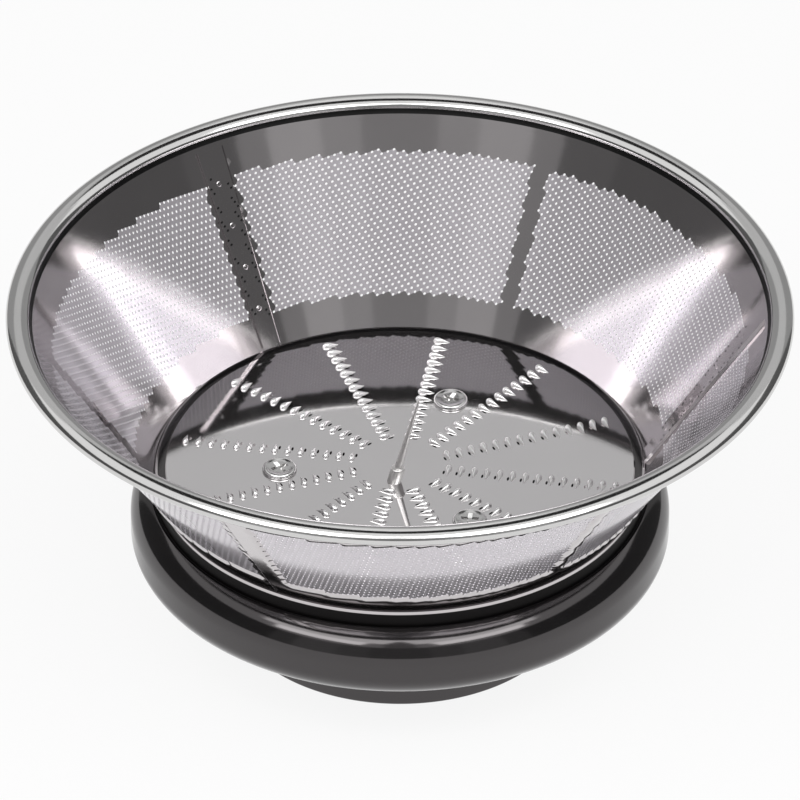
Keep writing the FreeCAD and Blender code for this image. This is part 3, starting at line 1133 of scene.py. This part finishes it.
@dataclass
class GraterDisc:
    """Mirror-bright disc with radial rows of raised teeth."""

    sizes: FrameSizes
    places: FixingPlaces
    thickness: float = DISC_THICKNESS
    row_count: int = 12
    first_row: float = 20.0
    first_tooth: float = 9.5
    tooth_pitch: float = 2.5
    edge_margin: float = 2.7
    tooth_half_width: float = 0.64
    tooth_root: float = 0.8
    tooth_reach: float = 2.5
    height_share: float = 0.7
    tooth_sink: float = 0.1
    tail_height: float = 0.3
    bulb_share: float = 0.3
    taper_power: float = 1.3
    least_half_width: float = 0.02
    tooth_rows: int = 14
    tooth_columns: int = 9
    slit_half_length: float = 0.6
    slit_half_width: float = 0.22
    slit_reach: float = 1.3
    slit_offset: float = -0.75
    slit_steps: int = 10
    tooth_length: float = 2.2
    screw_hole: float = 1.9
    pin_hole: float = 1.25

    @property
    def top(self) -> float:
        """Height of the disc's upper face."""
        return self.sizes.plate_top + self.thickness

    def half_width(self, share: np.ndarray) -> np.ndarray:
        """Half width of a tooth's drop-shaped outline, from its round end to its point.

        Args:
            share: Shares of the tooth's length.

        Returns:
            The half width at each share.
        """
        bulb = np.sqrt(np.clip(1 - (1 - share / self.bulb_share) ** 2, 0, 1))
        taper = (1 - np.clip((share - self.bulb_share) / (1 - self.bulb_share), 0, 1)) ** self.taper_power
        return self.tooth_half_width * np.where(share < self.bulb_share, bulb, taper)

    def crest(self, share: np.ndarray) -> np.ndarray:
        """Height of a tooth's ridge above the disc, which is greatest over its round end.

        Args:
            share: Shares of the tooth's length.

        Returns:
            The height at each share.
        """
        rise = self.height_share * (self.sizes.tooth_top - self.top)
        front = np.sqrt(np.clip(1 - (1 - share / self.bulb_share) ** 2, 0, 1))
        tail = np.clip((share - self.bulb_share) / (1 - self.bulb_share), 0, 1)
        back = 1 - tail * (1 - self.tail_height * (1 - tail))
        return rise * np.where(share < self.bulb_share, front, back)

    def tooth_spots(self) -> list[Pair]:
        """Radius and angle of each tooth that keeps off the screws and the pin.

        Returns:
            The spots, row by row.
        """
        obstacles = [(*place, HEAD_RADIUS) for place in self.places.screw_places()]
        obstacles.append((self.places.pin_x, self.places.pin_y, COLLAR_RADIUS))
        last = self.sizes.disc_radius - self.edge_margin
        spots = []
        for row in range(self.row_count):
            angle = self.first_row + row * 360.0 / self.row_count
            for radius in np.arange(self.first_tooth, last, self.tooth_pitch):
                x, y = polar(radius, angle)
                if all(math.hypot(x - a, y - b) > r + self.tooth_length for a, b, r in obstacles):
                    spots.append((float(radius), angle))
        return spots

    def tooth(self) -> tuple[np.ndarray, Faces]:
        """Points and faces of one tooth on the +X radius at the axis, its point turned clockwise.

        Returns:
            The points and the faces.
        """
        shares = (1 - np.cos(np.linspace(0, math.pi, self.tooth_rows))) / 2
        sides = np.sin(np.linspace(-math.pi / 2, math.pi / 2, self.tooth_columns))
        half = np.maximum(self.half_width(shares), self.least_half_width)
        share, side = np.meshgrid(shares, sides, indexing="ij")
        reach = -self.tooth_root + share * (self.tooth_root + self.tooth_reach)
        foot = self.top - self.tooth_sink
        height = foot + (self.crest(share) + self.tooth_sink) * np.sqrt(np.clip(1 - side ** 2, 0, 1))
        upper = np.stack([side * half[:, None], -reach, height], -1).reshape(-1, 3)
        lower = level(upper[:, :2], foot - self.tooth_sink)
        return thickened(grid_triangles(self.tooth_rows, self.tooth_columns), upper, lower)

    def tooth_hole(self) -> np.ndarray:
        """Outline of the slit beside a tooth's tail, about the tooth's place."""
        slit = circle(1.0, self.slit_steps) * np.array([self.slit_half_width, self.slit_half_length])
        return slit + np.array([self.slit_offset, -self.slit_reach])

    def build(self) -> None:
        """Builds the disc and its teeth."""
        spots = self.tooth_spots()
        shift = np.array([1.0, 0.0])
        loops = [circle(self.sizes.disc_radius, ROUND_STEPS)]
        loops += [turned(self.tooth_hole() + shift * radius, angle) for radius, angle in spots]
        loops += [circle(self.screw_hole, HOLE_STEPS, place) for place in self.places.screw_places()]
        loops.append(circle(self.pin_hole, HOLE_STEPS, (self.places.pin_x, self.places.pin_y)))
        flat, triangles = filled(loops)
        plate = Draft()
        plate.add(*thickened(triangles, level(flat, self.sizes.plate_top), level(flat, self.top)))
        made = plate.piece("mirror_disc", DISC_STEEL.material(), "disc_steel", smooth_below=30.0)
        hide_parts("grater_disc")
        points, faces = self.tooth()
        teeth = Draft()
        for radius, angle in spots:
            teeth.add(turned(points + np.array([radius, 0.0, 0.0]), angle), faces)
        teeth.piece("grater_teeth", TOOTH_STEEL.material(), "disc_steel", smooth_below=60.0)


@dataclass
class DiscScrews:
    """Pan-head screws with a cross recess."""

    sizes: FrameSizes
    places: FixingPlaces
    head_radius: float = HEAD_RADIUS
    head_height: float = 0.9
    edge_radius: float = 0.6
    seat_edge: float = 0.15
    lip_width: float = 0.2
    dish_depth: float = 0.1
    shank_radius: float = 1.75
    point_height: float = 1.5
    cross_half_length: float = 1.75
    cross_half_width: float = 0.42
    cross_depth: float = 0.6
    cross_floor_share: float = 0.55
    turn_step: float = 25.0
    steps: int = 72

    def cross(self, share: float) -> np.ndarray:
        """Outline of the cross recess, drawn in by a share.

        Args:
            share: Share of its length that is left.

        Returns:
            The outline's points.
        """
        long = self.cross_half_length * share
        wide = self.cross_half_width * (1 + share) / 2
        quarter = np.array([[long, -wide], [long, wide], [wide, wide]])
        return np.vstack([turned(quarter, 90.0 * index) for index in range(4)])

    def screw(self) -> Draft:
        """One screw that stands on the axis.

        Returns:
            The screw's points and faces.
        """
        top = self.sizes.head_top
        seat = top - self.head_height
        flat_radius = self.head_radius - self.edge_radius - self.lip_width
        floor = top - self.dish_depth
        profile = rounded([
            (0.0, self.sizes.screw_tip, 0), (self.shank_radius, self.sizes.screw_tip + self.point_height, 0),
            (self.shank_radius, seat, 0), (self.head_radius, seat, self.seat_edge),
            (self.head_radius, top, self.edge_radius), (flat_radius + self.lip_width, top, 0),
            (flat_radius, floor, 0)], steps=10)
        draft = Draft()
        draft.add(*lathe(profile, self.steps))
        flat, triangles = filled([circle(flat_radius, self.steps), self.cross(1.0)])
        draft.add(level(flat, floor), listed(triangles))
        high = level(self.cross(1.0), floor)
        low = level(self.cross(self.cross_floor_share), floor - self.cross_depth)
        count = len(high)
        draft.add(np.vstack([high, low]), ring_walls(count) + [tuple(range(count, 2 * count))])
        return draft

    def build(self) -> None:
        """Builds all the screws as one piece."""
        one = self.screw()
        points = np.vstack(one.points)
        group = Draft()
        for index, (angle, place) in enumerate(zip(self.places.screw_angles(), self.places.screw_places())):
            own_turn = angle + self.turn_step * index
            group.add(turned(points, own_turn) + np.array([*place, 0.0]), one.faces)
        made = group.piece("pan_head_screws", SCREW_STEEL.material(), "screw_steel", smooth_below=35.0)
        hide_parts("disc_screws")


@dataclass
class CentrePin:
    """Leaning tapered needle on a short collar."""

    sizes: FrameSizes
    places: FixingPlaces
    disc_thickness: float = DISC_THICKNESS
    lean: float = 14.2
    collar_height: float = 3.3
    collar_radius: float = COLLAR_RADIUS
    collar_edge: float = 0.35
    collar_foot_edge: float = 0.1
    needle_root: float = 0.75
    needle_root_edge: float = 0.15
    needle_tip: float = 0.2
    shank_radius: float = 1.1
    shank_edge: float = 0.2
    shank_depth: float = 4.5
    steps: int = 40

    def build(self) -> None:
        """Builds the pin, with level rings that lean to one side as they rise."""
        seat = self.sizes.plate_top + self.disc_thickness
        height = self.sizes.pin_tip - seat
        profile = rounded([
            (0.0, -self.shank_depth - self.disc_thickness, 0),
            (self.shank_radius, -self.shank_depth - self.disc_thickness, self.shank_edge),
            (self.shank_radius, 0.0, 0), (self.collar_radius, 0.0, self.collar_foot_edge),
            (self.collar_radius, self.collar_height, self.collar_edge),
            (self.needle_root, self.collar_height, self.needle_root_edge),
            (self.needle_tip, height - self.needle_tip, self.needle_tip / 2), (0.0, height, 0)], steps=8)
        points, faces = lathe(profile, self.steps)
        points[:, 0] += np.maximum(points[:, 2], 0.0) * math.tan(math.radians(self.lean))
        draft = Draft()
        draft.add(points + np.array([self.places.pin_x, self.places.pin_y, seat]), faces)
        made = draft.piece("leaning_pin", PIN_STEEL.material(), "pin_steel")
        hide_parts("centre_pin")


@dataclass
class DriveBase:
    """Black moulded base: plate, neck, rounded skirt, hub with ribs, and splined socket."""

    sizes: FrameSizes
    cone: Cone
    places: FixingPlaces
    sheet_thickness: float = SHEET_THICKNESS
    plate_thickness: float = 3.0
    shoulder_width: float = 1.5
    shoulder_clearance: float = 0.1
    trough_width: float = 0.7
    trough_depth: float = 0.5
    neck_height: float = 3.3
    crown_radius: float = 7.5
    skirt_straight: float = 3.1
    skirt_wall: float = 2.6
    skirt_lip: float = 0.3
    skirt_edge: float = 4.6
    hub_radius: float = 33.15
    hub_wall: float = 2.6
    hub_edge: float = 0.5
    socket_radius: float = 6.0
    socket_wall: float = 3.5
    socket_recess: float = 2.0
    socket_roof: float = 5.3
    spline_length: float = 9.0
    spline_radius: float = 4.8
    spline_count: int = 6
    spline_half_width: float = 0.9
    spline_depth: float = 1.0
    rib_half_thickness: float = 1.0
    boss_radius: float = 3.95
    boss_floor: float = 1.5
    pilot_radius: float = 1.8
    tip_clearance: float = 0.5
    pin_seat_radius: float = 1.15
    pin_seat_depth: float = 5.0
    soft_edge: float = 0.15
    inner_fillet: float = 0.5
    joint_overlap: float = 0.2
    boss_steps: int = 48

    @property
    def neck_radius(self) -> float:
        """Radius of the neck, flush with the wall's outer face at its foot."""
        return self.cone.foot_radius + self.sheet_thickness / self.cone.cosine

    @property
    def plate_bottom(self) -> float:
        """Height of the plate's underside."""
        return self.sizes.plate_top - self.plate_thickness

    @property
    def spline_top(self) -> float:
        """Height of the splined socket's end."""
        return self.plate_bottom - self.socket_roof

    @property
    def spline_foot(self) -> float:
        """Height at which the splines start."""
        return self.spline_top - self.spline_length

    @property
    def skirt_foot(self) -> float:
        """Height of the skirt's lower edge, where the ribs end too.

        Returns:
            The height in millimetres.
        """
        crown_reach = self.neck_radius + self.trough_width - self.sizes.skirt_radius + self.crown_radius
        crown_rise = self.crown_radius * math.sqrt(1 - (crown_reach / self.crown_radius) ** 2)
        crown_middle = self.sizes.wall_foot - self.neck_height - crown_rise
        edge_share = 1 - (self.skirt_wall - self.skirt_lip) / self.skirt_edge
        return crown_middle - self.skirt_straight - self.skirt_edge * math.sqrt(1 - edge_share ** 2)

    def profile(self) -> np.ndarray:
        """Outline of the revolved wall, from the disc's seat round to the drive socket.

        Returns:
            Radius and height of each point.
        """
        sizes = self.sizes
        ledge = sizes.wall_foot
        neck = self.neck_radius
        shoulder = self.cone.foot_radius - self.shoulder_clearance
        trough = neck + self.trough_width
        skirt = sizes.skirt_radius
        skirt_inner = skirt - self.skirt_wall
        crown = ledge - self.neck_height
        crown_centre = skirt - self.crown_radius
        crown_turn = math.degrees(math.acos((trough - crown_centre) / self.crown_radius))
        crown_middle = crown - self.crown_radius * math.sin(math.radians(crown_turn))
        edge_centre = skirt - self.skirt_edge
        edge_turn = math.degrees(math.acos((skirt_inner + self.skirt_lip - edge_centre) / self.skirt_edge))
        edge_middle = crown_middle - self.skirt_straight
        inner_radius = self.crown_radius - self.skirt_wall
        hub_inner = self.hub_radius - self.hub_wall
        boss = self.socket_radius + self.socket_wall
        edge, fillet = self.soft_edge, self.inner_fillet
        crown_arc = arc((crown_centre, crown_middle), self.crown_radius, crown_turn, 0, steps=20)
        edge_arc = arc((edge_centre, edge_middle), self.skirt_edge, 0, -edge_turn, steps=16)
        inner_arc = arc((crown_centre, crown_middle), inner_radius, 0, 90, steps=16)
        corners = [
            (shoulder - self.shoulder_width, sizes.plate_top, 0),
            (shoulder - self.shoulder_width, sizes.shoulder_top, edge),
            (shoulder, sizes.shoulder_top, edge), (shoulder, ledge, 0), (neck, ledge, edge),
            (neck, crown - self.trough_depth, edge), (trough, crown - self.trough_depth, edge),
            (*crown_arc[0], edge / 2)]
        corners += [(*point, 0) for point in crown_arc[1:]]
        corners += [(*point, 0) for point in edge_arc[:-1]]
        corners += [(*edge_arc[-1], edge / 2), (skirt_inner, self.skirt_foot, edge / 2)]
        corners += [(*point, 0) for point in inner_arc]
        corners += [
            (crown_centre, self.plate_bottom, fillet), (self.hub_radius, self.plate_bottom, fillet),
            (self.hub_radius, 0.0, self.hub_edge), (hub_inner, 0.0, 2 * edge),
            (hub_inner, self.plate_bottom, fillet), (boss, self.plate_bottom, fillet),
            (boss, self.socket_recess, edge), (self.socket_radius, self.socket_recess, 2 * edge),
            (self.socket_radius, self.spline_foot, 0)]
        return rounded(corners, steps=10)

    def spline_loop(self) -> np.ndarray:
        """Outline of the splined bore.

        Returns:
            The outline's points.
        """
        deep = self.spline_radius + self.spline_depth
        mouth = math.degrees(math.asin(self.spline_half_width / self.spline_radius))
        step = 360.0 / self.spline_count
        groove = np.array([[deep, -self.spline_half_width], [deep, self.spline_half_width]])
        land = arc((0.0, 0.0), self.spline_radius, mouth, step - mouth, steps=6)
        tooth = np.vstack([groove, land])
        return np.vstack([turned(tooth, index * step) for index in range(self.spline_count)])

    def blind_hole(self, draft: Draft, loop: np.ndarray, mouth: float, end: float) -> None:
        """Adds the wall and the end of a blind hole.

        Args:
            draft: What the hole is added to.
            loop: The hole's outline.
            mouth: Height of its open end.
            end: Height of its closed end.
        """
        count = len(loop)
        points = np.vstack([level(loop, mouth), level(loop, end)])
        draft.add(points, ring_walls(count) + [tuple(range(count, 2 * count))])

    def neck_rows(self, outline: np.ndarray) -> list[int]:
        """Finish number of each row of the revolved wall, which is 1 on the neck and 0 elsewhere.

        Args:
            outline: The revolved wall's outline.

        Returns:
            One number for each row.
        """
        radii, heights = ((outline[:-1] + outline[1:]) / 2).T
        neck_foot = self.sizes.wall_foot - self.neck_height - self.trough_depth
        on_neck = np.abs(radii - self.neck_radius) < self.soft_edge
        return (on_neck & (heights > neck_foot) & (heights < self.sizes.wall_foot)).astype(int).tolist()

    def shell(self) -> Draft:
        """The revolved wall with its plate, pilot holes and splined socket.

        Returns:
            Its points, faces and finish numbers.
        """
        sizes = self.sizes
        draft = Draft()
        outline = self.profile()
        finishes = [number for number in self.neck_rows(outline) for _ in range(ROUND_STEPS)]
        draft.add(*lathe(outline), finishes)
        pilots = [circle(self.pilot_radius, HOLE_STEPS, place) for place in self.places.screw_places()]
        pin_seat = circle(self.pin_seat_radius, HOLE_STEPS, (self.places.pin_x, self.places.pin_y))
        flat, triangles = filled([circle(outline[0][0], ROUND_STEPS), *pilots, pin_seat])
        draft.add(level(flat, sizes.plate_top), listed(triangles))
        for pilot in pilots:
            self.blind_hole(draft, pilot, sizes.plate_top, sizes.screw_tip - self.tip_clearance)
        self.blind_hole(draft, pin_seat, sizes.plate_top, sizes.plate_top - self.pin_seat_depth)
        spline = self.spline_loop()
        flat, triangles = filled([circle(self.socket_radius, ROUND_STEPS), spline])
        draft.add(level(flat, self.spline_foot), listed(triangles))
        self.blind_hole(draft, spline, self.spline_foot, self.spline_top)
        return draft

    def ribs(self) -> Draft:
        """The ribs and screw bosses under the plate.

        Returns:
            Their points and faces.
        """
        foot = self.skirt_foot
        boss_foot = self.sizes.screw_tip - self.tip_clearance - self.boss_floor
        near = self.socket_radius + self.socket_wall - self.joint_overlap
        far = self.hub_radius - self.hub_wall + self.joint_overlap
        top = self.plate_bottom + self.joint_overlap
        half = self.rib_half_thickness
        section = rounded([
            (-half, top, 0), (-half, foot, self.soft_edge), (half, foot, self.soft_edge),
            (half, top, 0)], steps=4)
        count = len(section)
        ends = [np.column_stack([np.full(count, place), section]) for place in (near, far)]
        faces = ring_walls(count) + ring_caps(count)
        boss = rounded([
            (0.0, boss_foot, 0), (self.boss_radius, boss_foot, 2 * self.soft_edge),
            (self.boss_radius, top, 0), (0.0, top, 0)], steps=4)
        boss_points, boss_faces = lathe(boss, self.boss_steps)
        draft = Draft()
        for angle, place in zip(self.places.screw_angles(), self.places.screw_places()):
            draft.add(turned(np.vstack(ends), angle), faces)
            draft.add(boss_points + np.array([*place, 0.0]), boss_faces)
        return draft

    def build(self) -> None:
        """Builds the base and the ribs under it."""
        finish, neck_finish = BASE_PLASTIC.material(), NECK_PLASTIC.material()
        made = self.shell().piece("moulded_base", [finish, neck_finish], "base_plastic", smooth_below=30.0)
        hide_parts("drive_base")
        self.ribs().piece("base_ribs", finish, "base_plastic", smooth_below=35.0)


def sheet_object(name: str, corners: tuple[Triple, ...], finish: Material) -> bpy.types.Object:
    """Flat object of the studio with one face between its corners.

    Args:
        name: Name of the object.
        corners: Its corners in order.
        finish: Its material.

    Returns:
        The object.
    """
    mesh = bpy.data.meshes.new(name)
    mesh.from_pydata([list(corner) for corner in corners], [], [tuple(range(len(corners)))])
    mesh.materials.append(finish)
    made = bpy.data.objects.new(name, mesh)
    bpy.context.scene.collection.objects.link(made)
    return made


@dataclass(frozen=True)
class Card:
    """A flat studio card that only reflections see."""

    name: str
    corners: tuple[Triple, ...]
    brightness: float

    def build(self) -> None:
        """Hangs the card in the studio."""
        finish = bpy.data.materials.new(self.name)
        graph = Graph.emptied(finish)
        shade = (self.brightness, self.brightness, self.brightness, OPAQUE)
        graph.output(graph.node("ShaderNodeEmission", None, {"Color": shade, "Strength": 1.0}))
        made = sheet_object(self.name, self.corners, finish)
        made.visible_camera = False
        made.visible_diffuse = False
        made.visible_transmission = False
        made.visible_shadow = False


@dataclass(frozen=True)
class LampSheet:
    """A bright sheet that reflections see before a lamp, placed in halves of the lamp's size."""

    name: str
    half_width: float
    low: float
    high: float
    shine: float


@dataclass(frozen=True)
class Softbox:
    """A rectangular studio lamp that faces the object."""

    name: str
    place: Triple
    width: float
    height: float
    radiance: float
    sheets: tuple[LampSheet, ...]

    def build(self, aim: Vector) -> None:
        """Hangs the lamp so that it faces a point, with the sheets that reflections see in its place.

        Args:
            aim: The point that the lamp faces.
        """
        data = bpy.data.lights.new(self.name, "AREA")
        data.shape = "RECTANGLE"
        data.size = self.width
        data.size_y = self.height
        data.energy = self.radiance * self.width * self.height * math.pi
        lamp = bpy.data.objects.new(self.name, data)
        lamp.location = self.place
        turn = (aim - Vector(self.place)).to_track_quat("-Z", "Y")
        lamp.rotation_euler = turn.to_euler()
        lamp.visible_camera = False
        lamp.visible_glossy = False
        bpy.context.scene.collection.objects.link(lamp)
        for sheet in self.sheets:
            half, low, high = sheet.half_width, sheet.low, sheet.high
            offsets = [
                Vector((side * self.width / 2, rise * self.height / 2, 0.0))
                for side, rise in ((-half, low), (half, low), (half, high), (-half, high))]
            corners = tuple(tuple(Vector(self.place) + turn @ offset) for offset in offsets)
            Card(f"{self.name}_sheet_{sheet.name}", corners, sheet.shine).build()


@dataclass
class Studio:
    """Pale floor, white surroundings, lamps, dark cards and the camera."""

    target: Triple = (0.0, 0.0, 0.04806)
    elevation: float = 34.99
    distance: float = 2.0
    lens: float = 470.4
    sensor: float = 36.0
    floor_half: float = 6.0
    floor_colour: Triple = (0.92, 0.92, 0.92)
    floor_white_share: float = 0.9
    fibre_scale: float = 900.0
    fibre_shade: float = 0.97
    fill: float = 0.3
    card_reach: float = 1.5
    dark_edges: tuple[float, ...] = (0.0, 12.0, 25.0, 42.0, 52.0, 70.0, 92.0, 115.0, 138.0)
    dark_shades: tuple[float, ...] = (0.26, 0.34, 0.42, 0.26, 0.13, 0.11, 0.11, 0.12)
    dark_rows: tuple[tuple[str, Pair], ...] = (("low", (-1.5, 18.0)), ("high", (18.0, 33.0)))
    gap_azimuths: Pair = (-7.0, 7.0)
    gap_elevations: Pair = (33.0, 62.0)
    gap_shade: float = 0.5
    back_azimuths: Pair = (138.0, 180.0)
    back_rows: tuple[tuple[str, Pair, float], ...] = (
        ("back_card", (-1.5, 29.0), 0.36), ("back_high", (29.0, 44.0), 0.62))
    ceiling: float = 1.3
    ceiling_shade: float = 0.03
    ceiling_inner: tuple[Pair, ...] = ((0.0, 0.45), (0.1, 0.55), (0.18, 0.8), (0.18, 1.4))
    ceiling_outer: tuple[Pair, ...] = ((0.0, -0.05), (0.27, 0.05), (0.56, 0.42), (0.58, 1.4))
    lamp_azimuth: float = 37.0
    lamp_elevation: float = 54.0
    lamp_reach: float = 1.3
    lamp_width: float = 1.0
    lamp_height: float = 0.6
    lamp_radiance: float = 3.8
    lamp_sheets: tuple[LampSheet, ...] = (
        LampSheet("low", half_width=0.75, low=-1.2, high=-0.5, shine=6.0),
        LampSheet("high", half_width=1.0, low=-0.5, high=1.0, shine=3.9))

    def light_path(self, graph: Graph) -> Value:
        """1 where a camera, glossy or transmission ray looks, and 0 elsewhere.

        Args:
            graph: The graph that asks.

        Returns:
            The number.
        """
        path = graph.node("ShaderNodeLightPath")
        seen = graph.value(path, "Is Camera Ray") + graph.value(path, "Is Glossy Ray")
        return (seen + graph.value(path, "Is Transmission Ray")).at_most(1.0)

    def world(self) -> None:
        """White surroundings for what is seen, and a plain fill for the light."""
        made = bpy.data.worlds.new("white_studio")
        graph = Graph.emptied(made)
        white = graph.node("ShaderNodeBackground", None, {"Color": WHITE, "Strength": 1.0})
        fill = graph.node("ShaderNodeBackground", None, {"Color": WHITE, "Strength": self.fill})
        mixed = graph.node("ShaderNodeMixShader", None, {
            0: self.light_path(graph), 1: fill.outputs[0], 2: white.outputs[0]})
        graph.output(mixed, "ShaderNodeOutputWorld")
        bpy.context.scene.world = made

    def floor(self) -> None:
        """Pale floor that keeps a soft shadow."""
        half = self.floor_half
        finish = bpy.data.materials.new("floor_paper")
        graph = Graph.emptied(finish)
        place = graph.node("ShaderNodeTexCoord").outputs["Object"]
        fibre = graph.noise(place, self.fibre_scale, detail=3.0)
        shaded = tuple(self.fibre_shade * channel for channel in self.floor_colour)
        paper = graph.node("ShaderNodeBsdfDiffuse", None, {
            "Color": graph.mixed(fibre, shaded, self.floor_colour)})
        white = graph.node("ShaderNodeEmission", None, {"Color": WHITE, "Strength": 1.0})
        share = self.light_path(graph) * self.floor_white_share
        mixed = graph.node("ShaderNodeMixShader", None, {0: share, 1: paper.outputs[0], 2: white.outputs[0]})
        graph.output(mixed)
        corners = ((-half, -half, 0.0), (half, -half, 0.0), (half, half, 0.0), (-half, half, 0.0))
        made = sheet_object("studio_floor", corners, finish)

    def around(self, azimuth: float, elevation: float, reach: float) -> Triple:
        """Place seen from the object, with azimuth 0 at the camera's side and positive to the right.

        Args:
            azimuth: Degrees about the axis.
            elevation: Degrees above the level.
            reach: Distance from the target in metres.

        Returns:
            The place in metres.
        """
        turn, rise = math.radians(azimuth), math.radians(elevation)
        return (
            self.target[0] + reach * math.sin(turn) * math.cos(rise),
            self.target[1] - reach * math.cos(turn) * math.cos(rise),
            self.target[2] + reach * math.sin(rise))

    def patch(self, name: str, azimuths: Pair, elevations: Pair, brightness: float) -> None:
        """Hangs a card between two azimuths and two elevations.

        Args:
            name: Name of the card.
            azimuths: Its left and right edge, in degrees.
            elevations: Its lower and upper edge, in degrees.
            brightness: What a reflection of it shows.
        """
        (left, right), (low, high) = azimuths, elevations
        places = ((left, low), (right, low), (right, high), (left, high))
        corners = tuple(self.around(azimuth, elevation, self.card_reach) for azimuth, elevation in places)
        Card(name, corners, brightness).build()

    def cards(self) -> None:
        """Dark cards round the camera's side, over the gap between the lamps, behind and overhead."""
        spans = zip(self.dark_edges, self.dark_edges[1:], self.dark_shades)
        for number, (first, last, shade) in enumerate(spans, 1):
            for hand, side in SIDES:
                for row, elevations in self.dark_rows:
                    azimuths = tuple(sorted((side * first, side * last)))
                    self.patch(f"dark_card_{number}_{hand}_{row}", azimuths, elevations, shade)
        self.patch("gap_card", self.gap_azimuths, self.gap_elevations, self.gap_shade)
        for name, elevations, shade in self.back_rows:
            for hand, side in SIDES:
                azimuths = tuple(sorted(side * azimuth for azimuth in self.back_azimuths))
                self.patch(f"{name}_{hand}", azimuths, elevations, shade)
        inner, outer = self.ceiling_inner, self.ceiling_outer
        for number, ends in enumerate(zip(inner, outer, outer[1:], inner[1:]), 1):
            for hand, side in SIDES:
                corners = tuple((side * x, y, self.ceiling) for x, y in ends)
                Card(f"ceiling_card_{number}_{hand}", corners, self.ceiling_shade).build()

    def lamps(self) -> None:
        """A soft box at each side of the camera."""
        for hand, side in SIDES:
            place = self.around(side * self.lamp_azimuth, self.lamp_elevation, self.lamp_reach)
            lamp = Softbox(
                f"{hand}_lamp", place, width=self.lamp_width, height=self.lamp_height,
                radiance=self.lamp_radiance, sheets=self.lamp_sheets)
            lamp.build(Vector(self.target))

    def camera(self) -> None:
        """Camera at the photograph's viewing angle."""
        data = bpy.data.cameras.new("photo_camera")
        data.lens = self.lens
        data.sensor_width = self.sensor
        made = bpy.data.objects.new("photo_camera", data)
        rise = math.radians(self.elevation)
        back = Vector((0.0, -math.cos(rise), math.sin(rise)))
        made.location = Vector(self.target) + back * self.distance
        made.rotation_euler = (-back).to_track_quat("-Z", "Y").to_euler()
        bpy.context.scene.collection.objects.link(made)
        bpy.context.scene.camera = made

    def build(self) -> None:
        """Sets up the whole studio."""
        bpy.context.scene.view_settings.view_transform = "Standard"
        self.world()
        self.floor()
        self.cards()
        self.lamps()
        self.camera()


def main() -> None:
    """Loads the frame, builds every sub-assembly in order and sets up the studio."""
    logging.basicConfig(level=logging.INFO, format="%(name)s: %(message)s")
    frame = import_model()
    LOG.info("the frame has %d nodes", len(frame["nodes"]))
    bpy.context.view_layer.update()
    sizes = FrameSizes.read()
    cone = Cone(WALL_FOOT_RADIUS, sizes.wall_foot, WALL_ANGLE)
    places = FixingPlaces()
    assemblies = [
        SieveWall(sizes, cone),
        RolledRim(sizes, cone),
        GraterDisc(sizes, places),
        DiscScrews(sizes, places),
        CentrePin(sizes, places),
        DriveBase(sizes, cone, places),
    ]
    for assembly in assemblies:
        LOG.info("building %s", type(assembly).__name__)
        assembly.build()
    Studio().build()


if __name__ == "__main__":
    main()
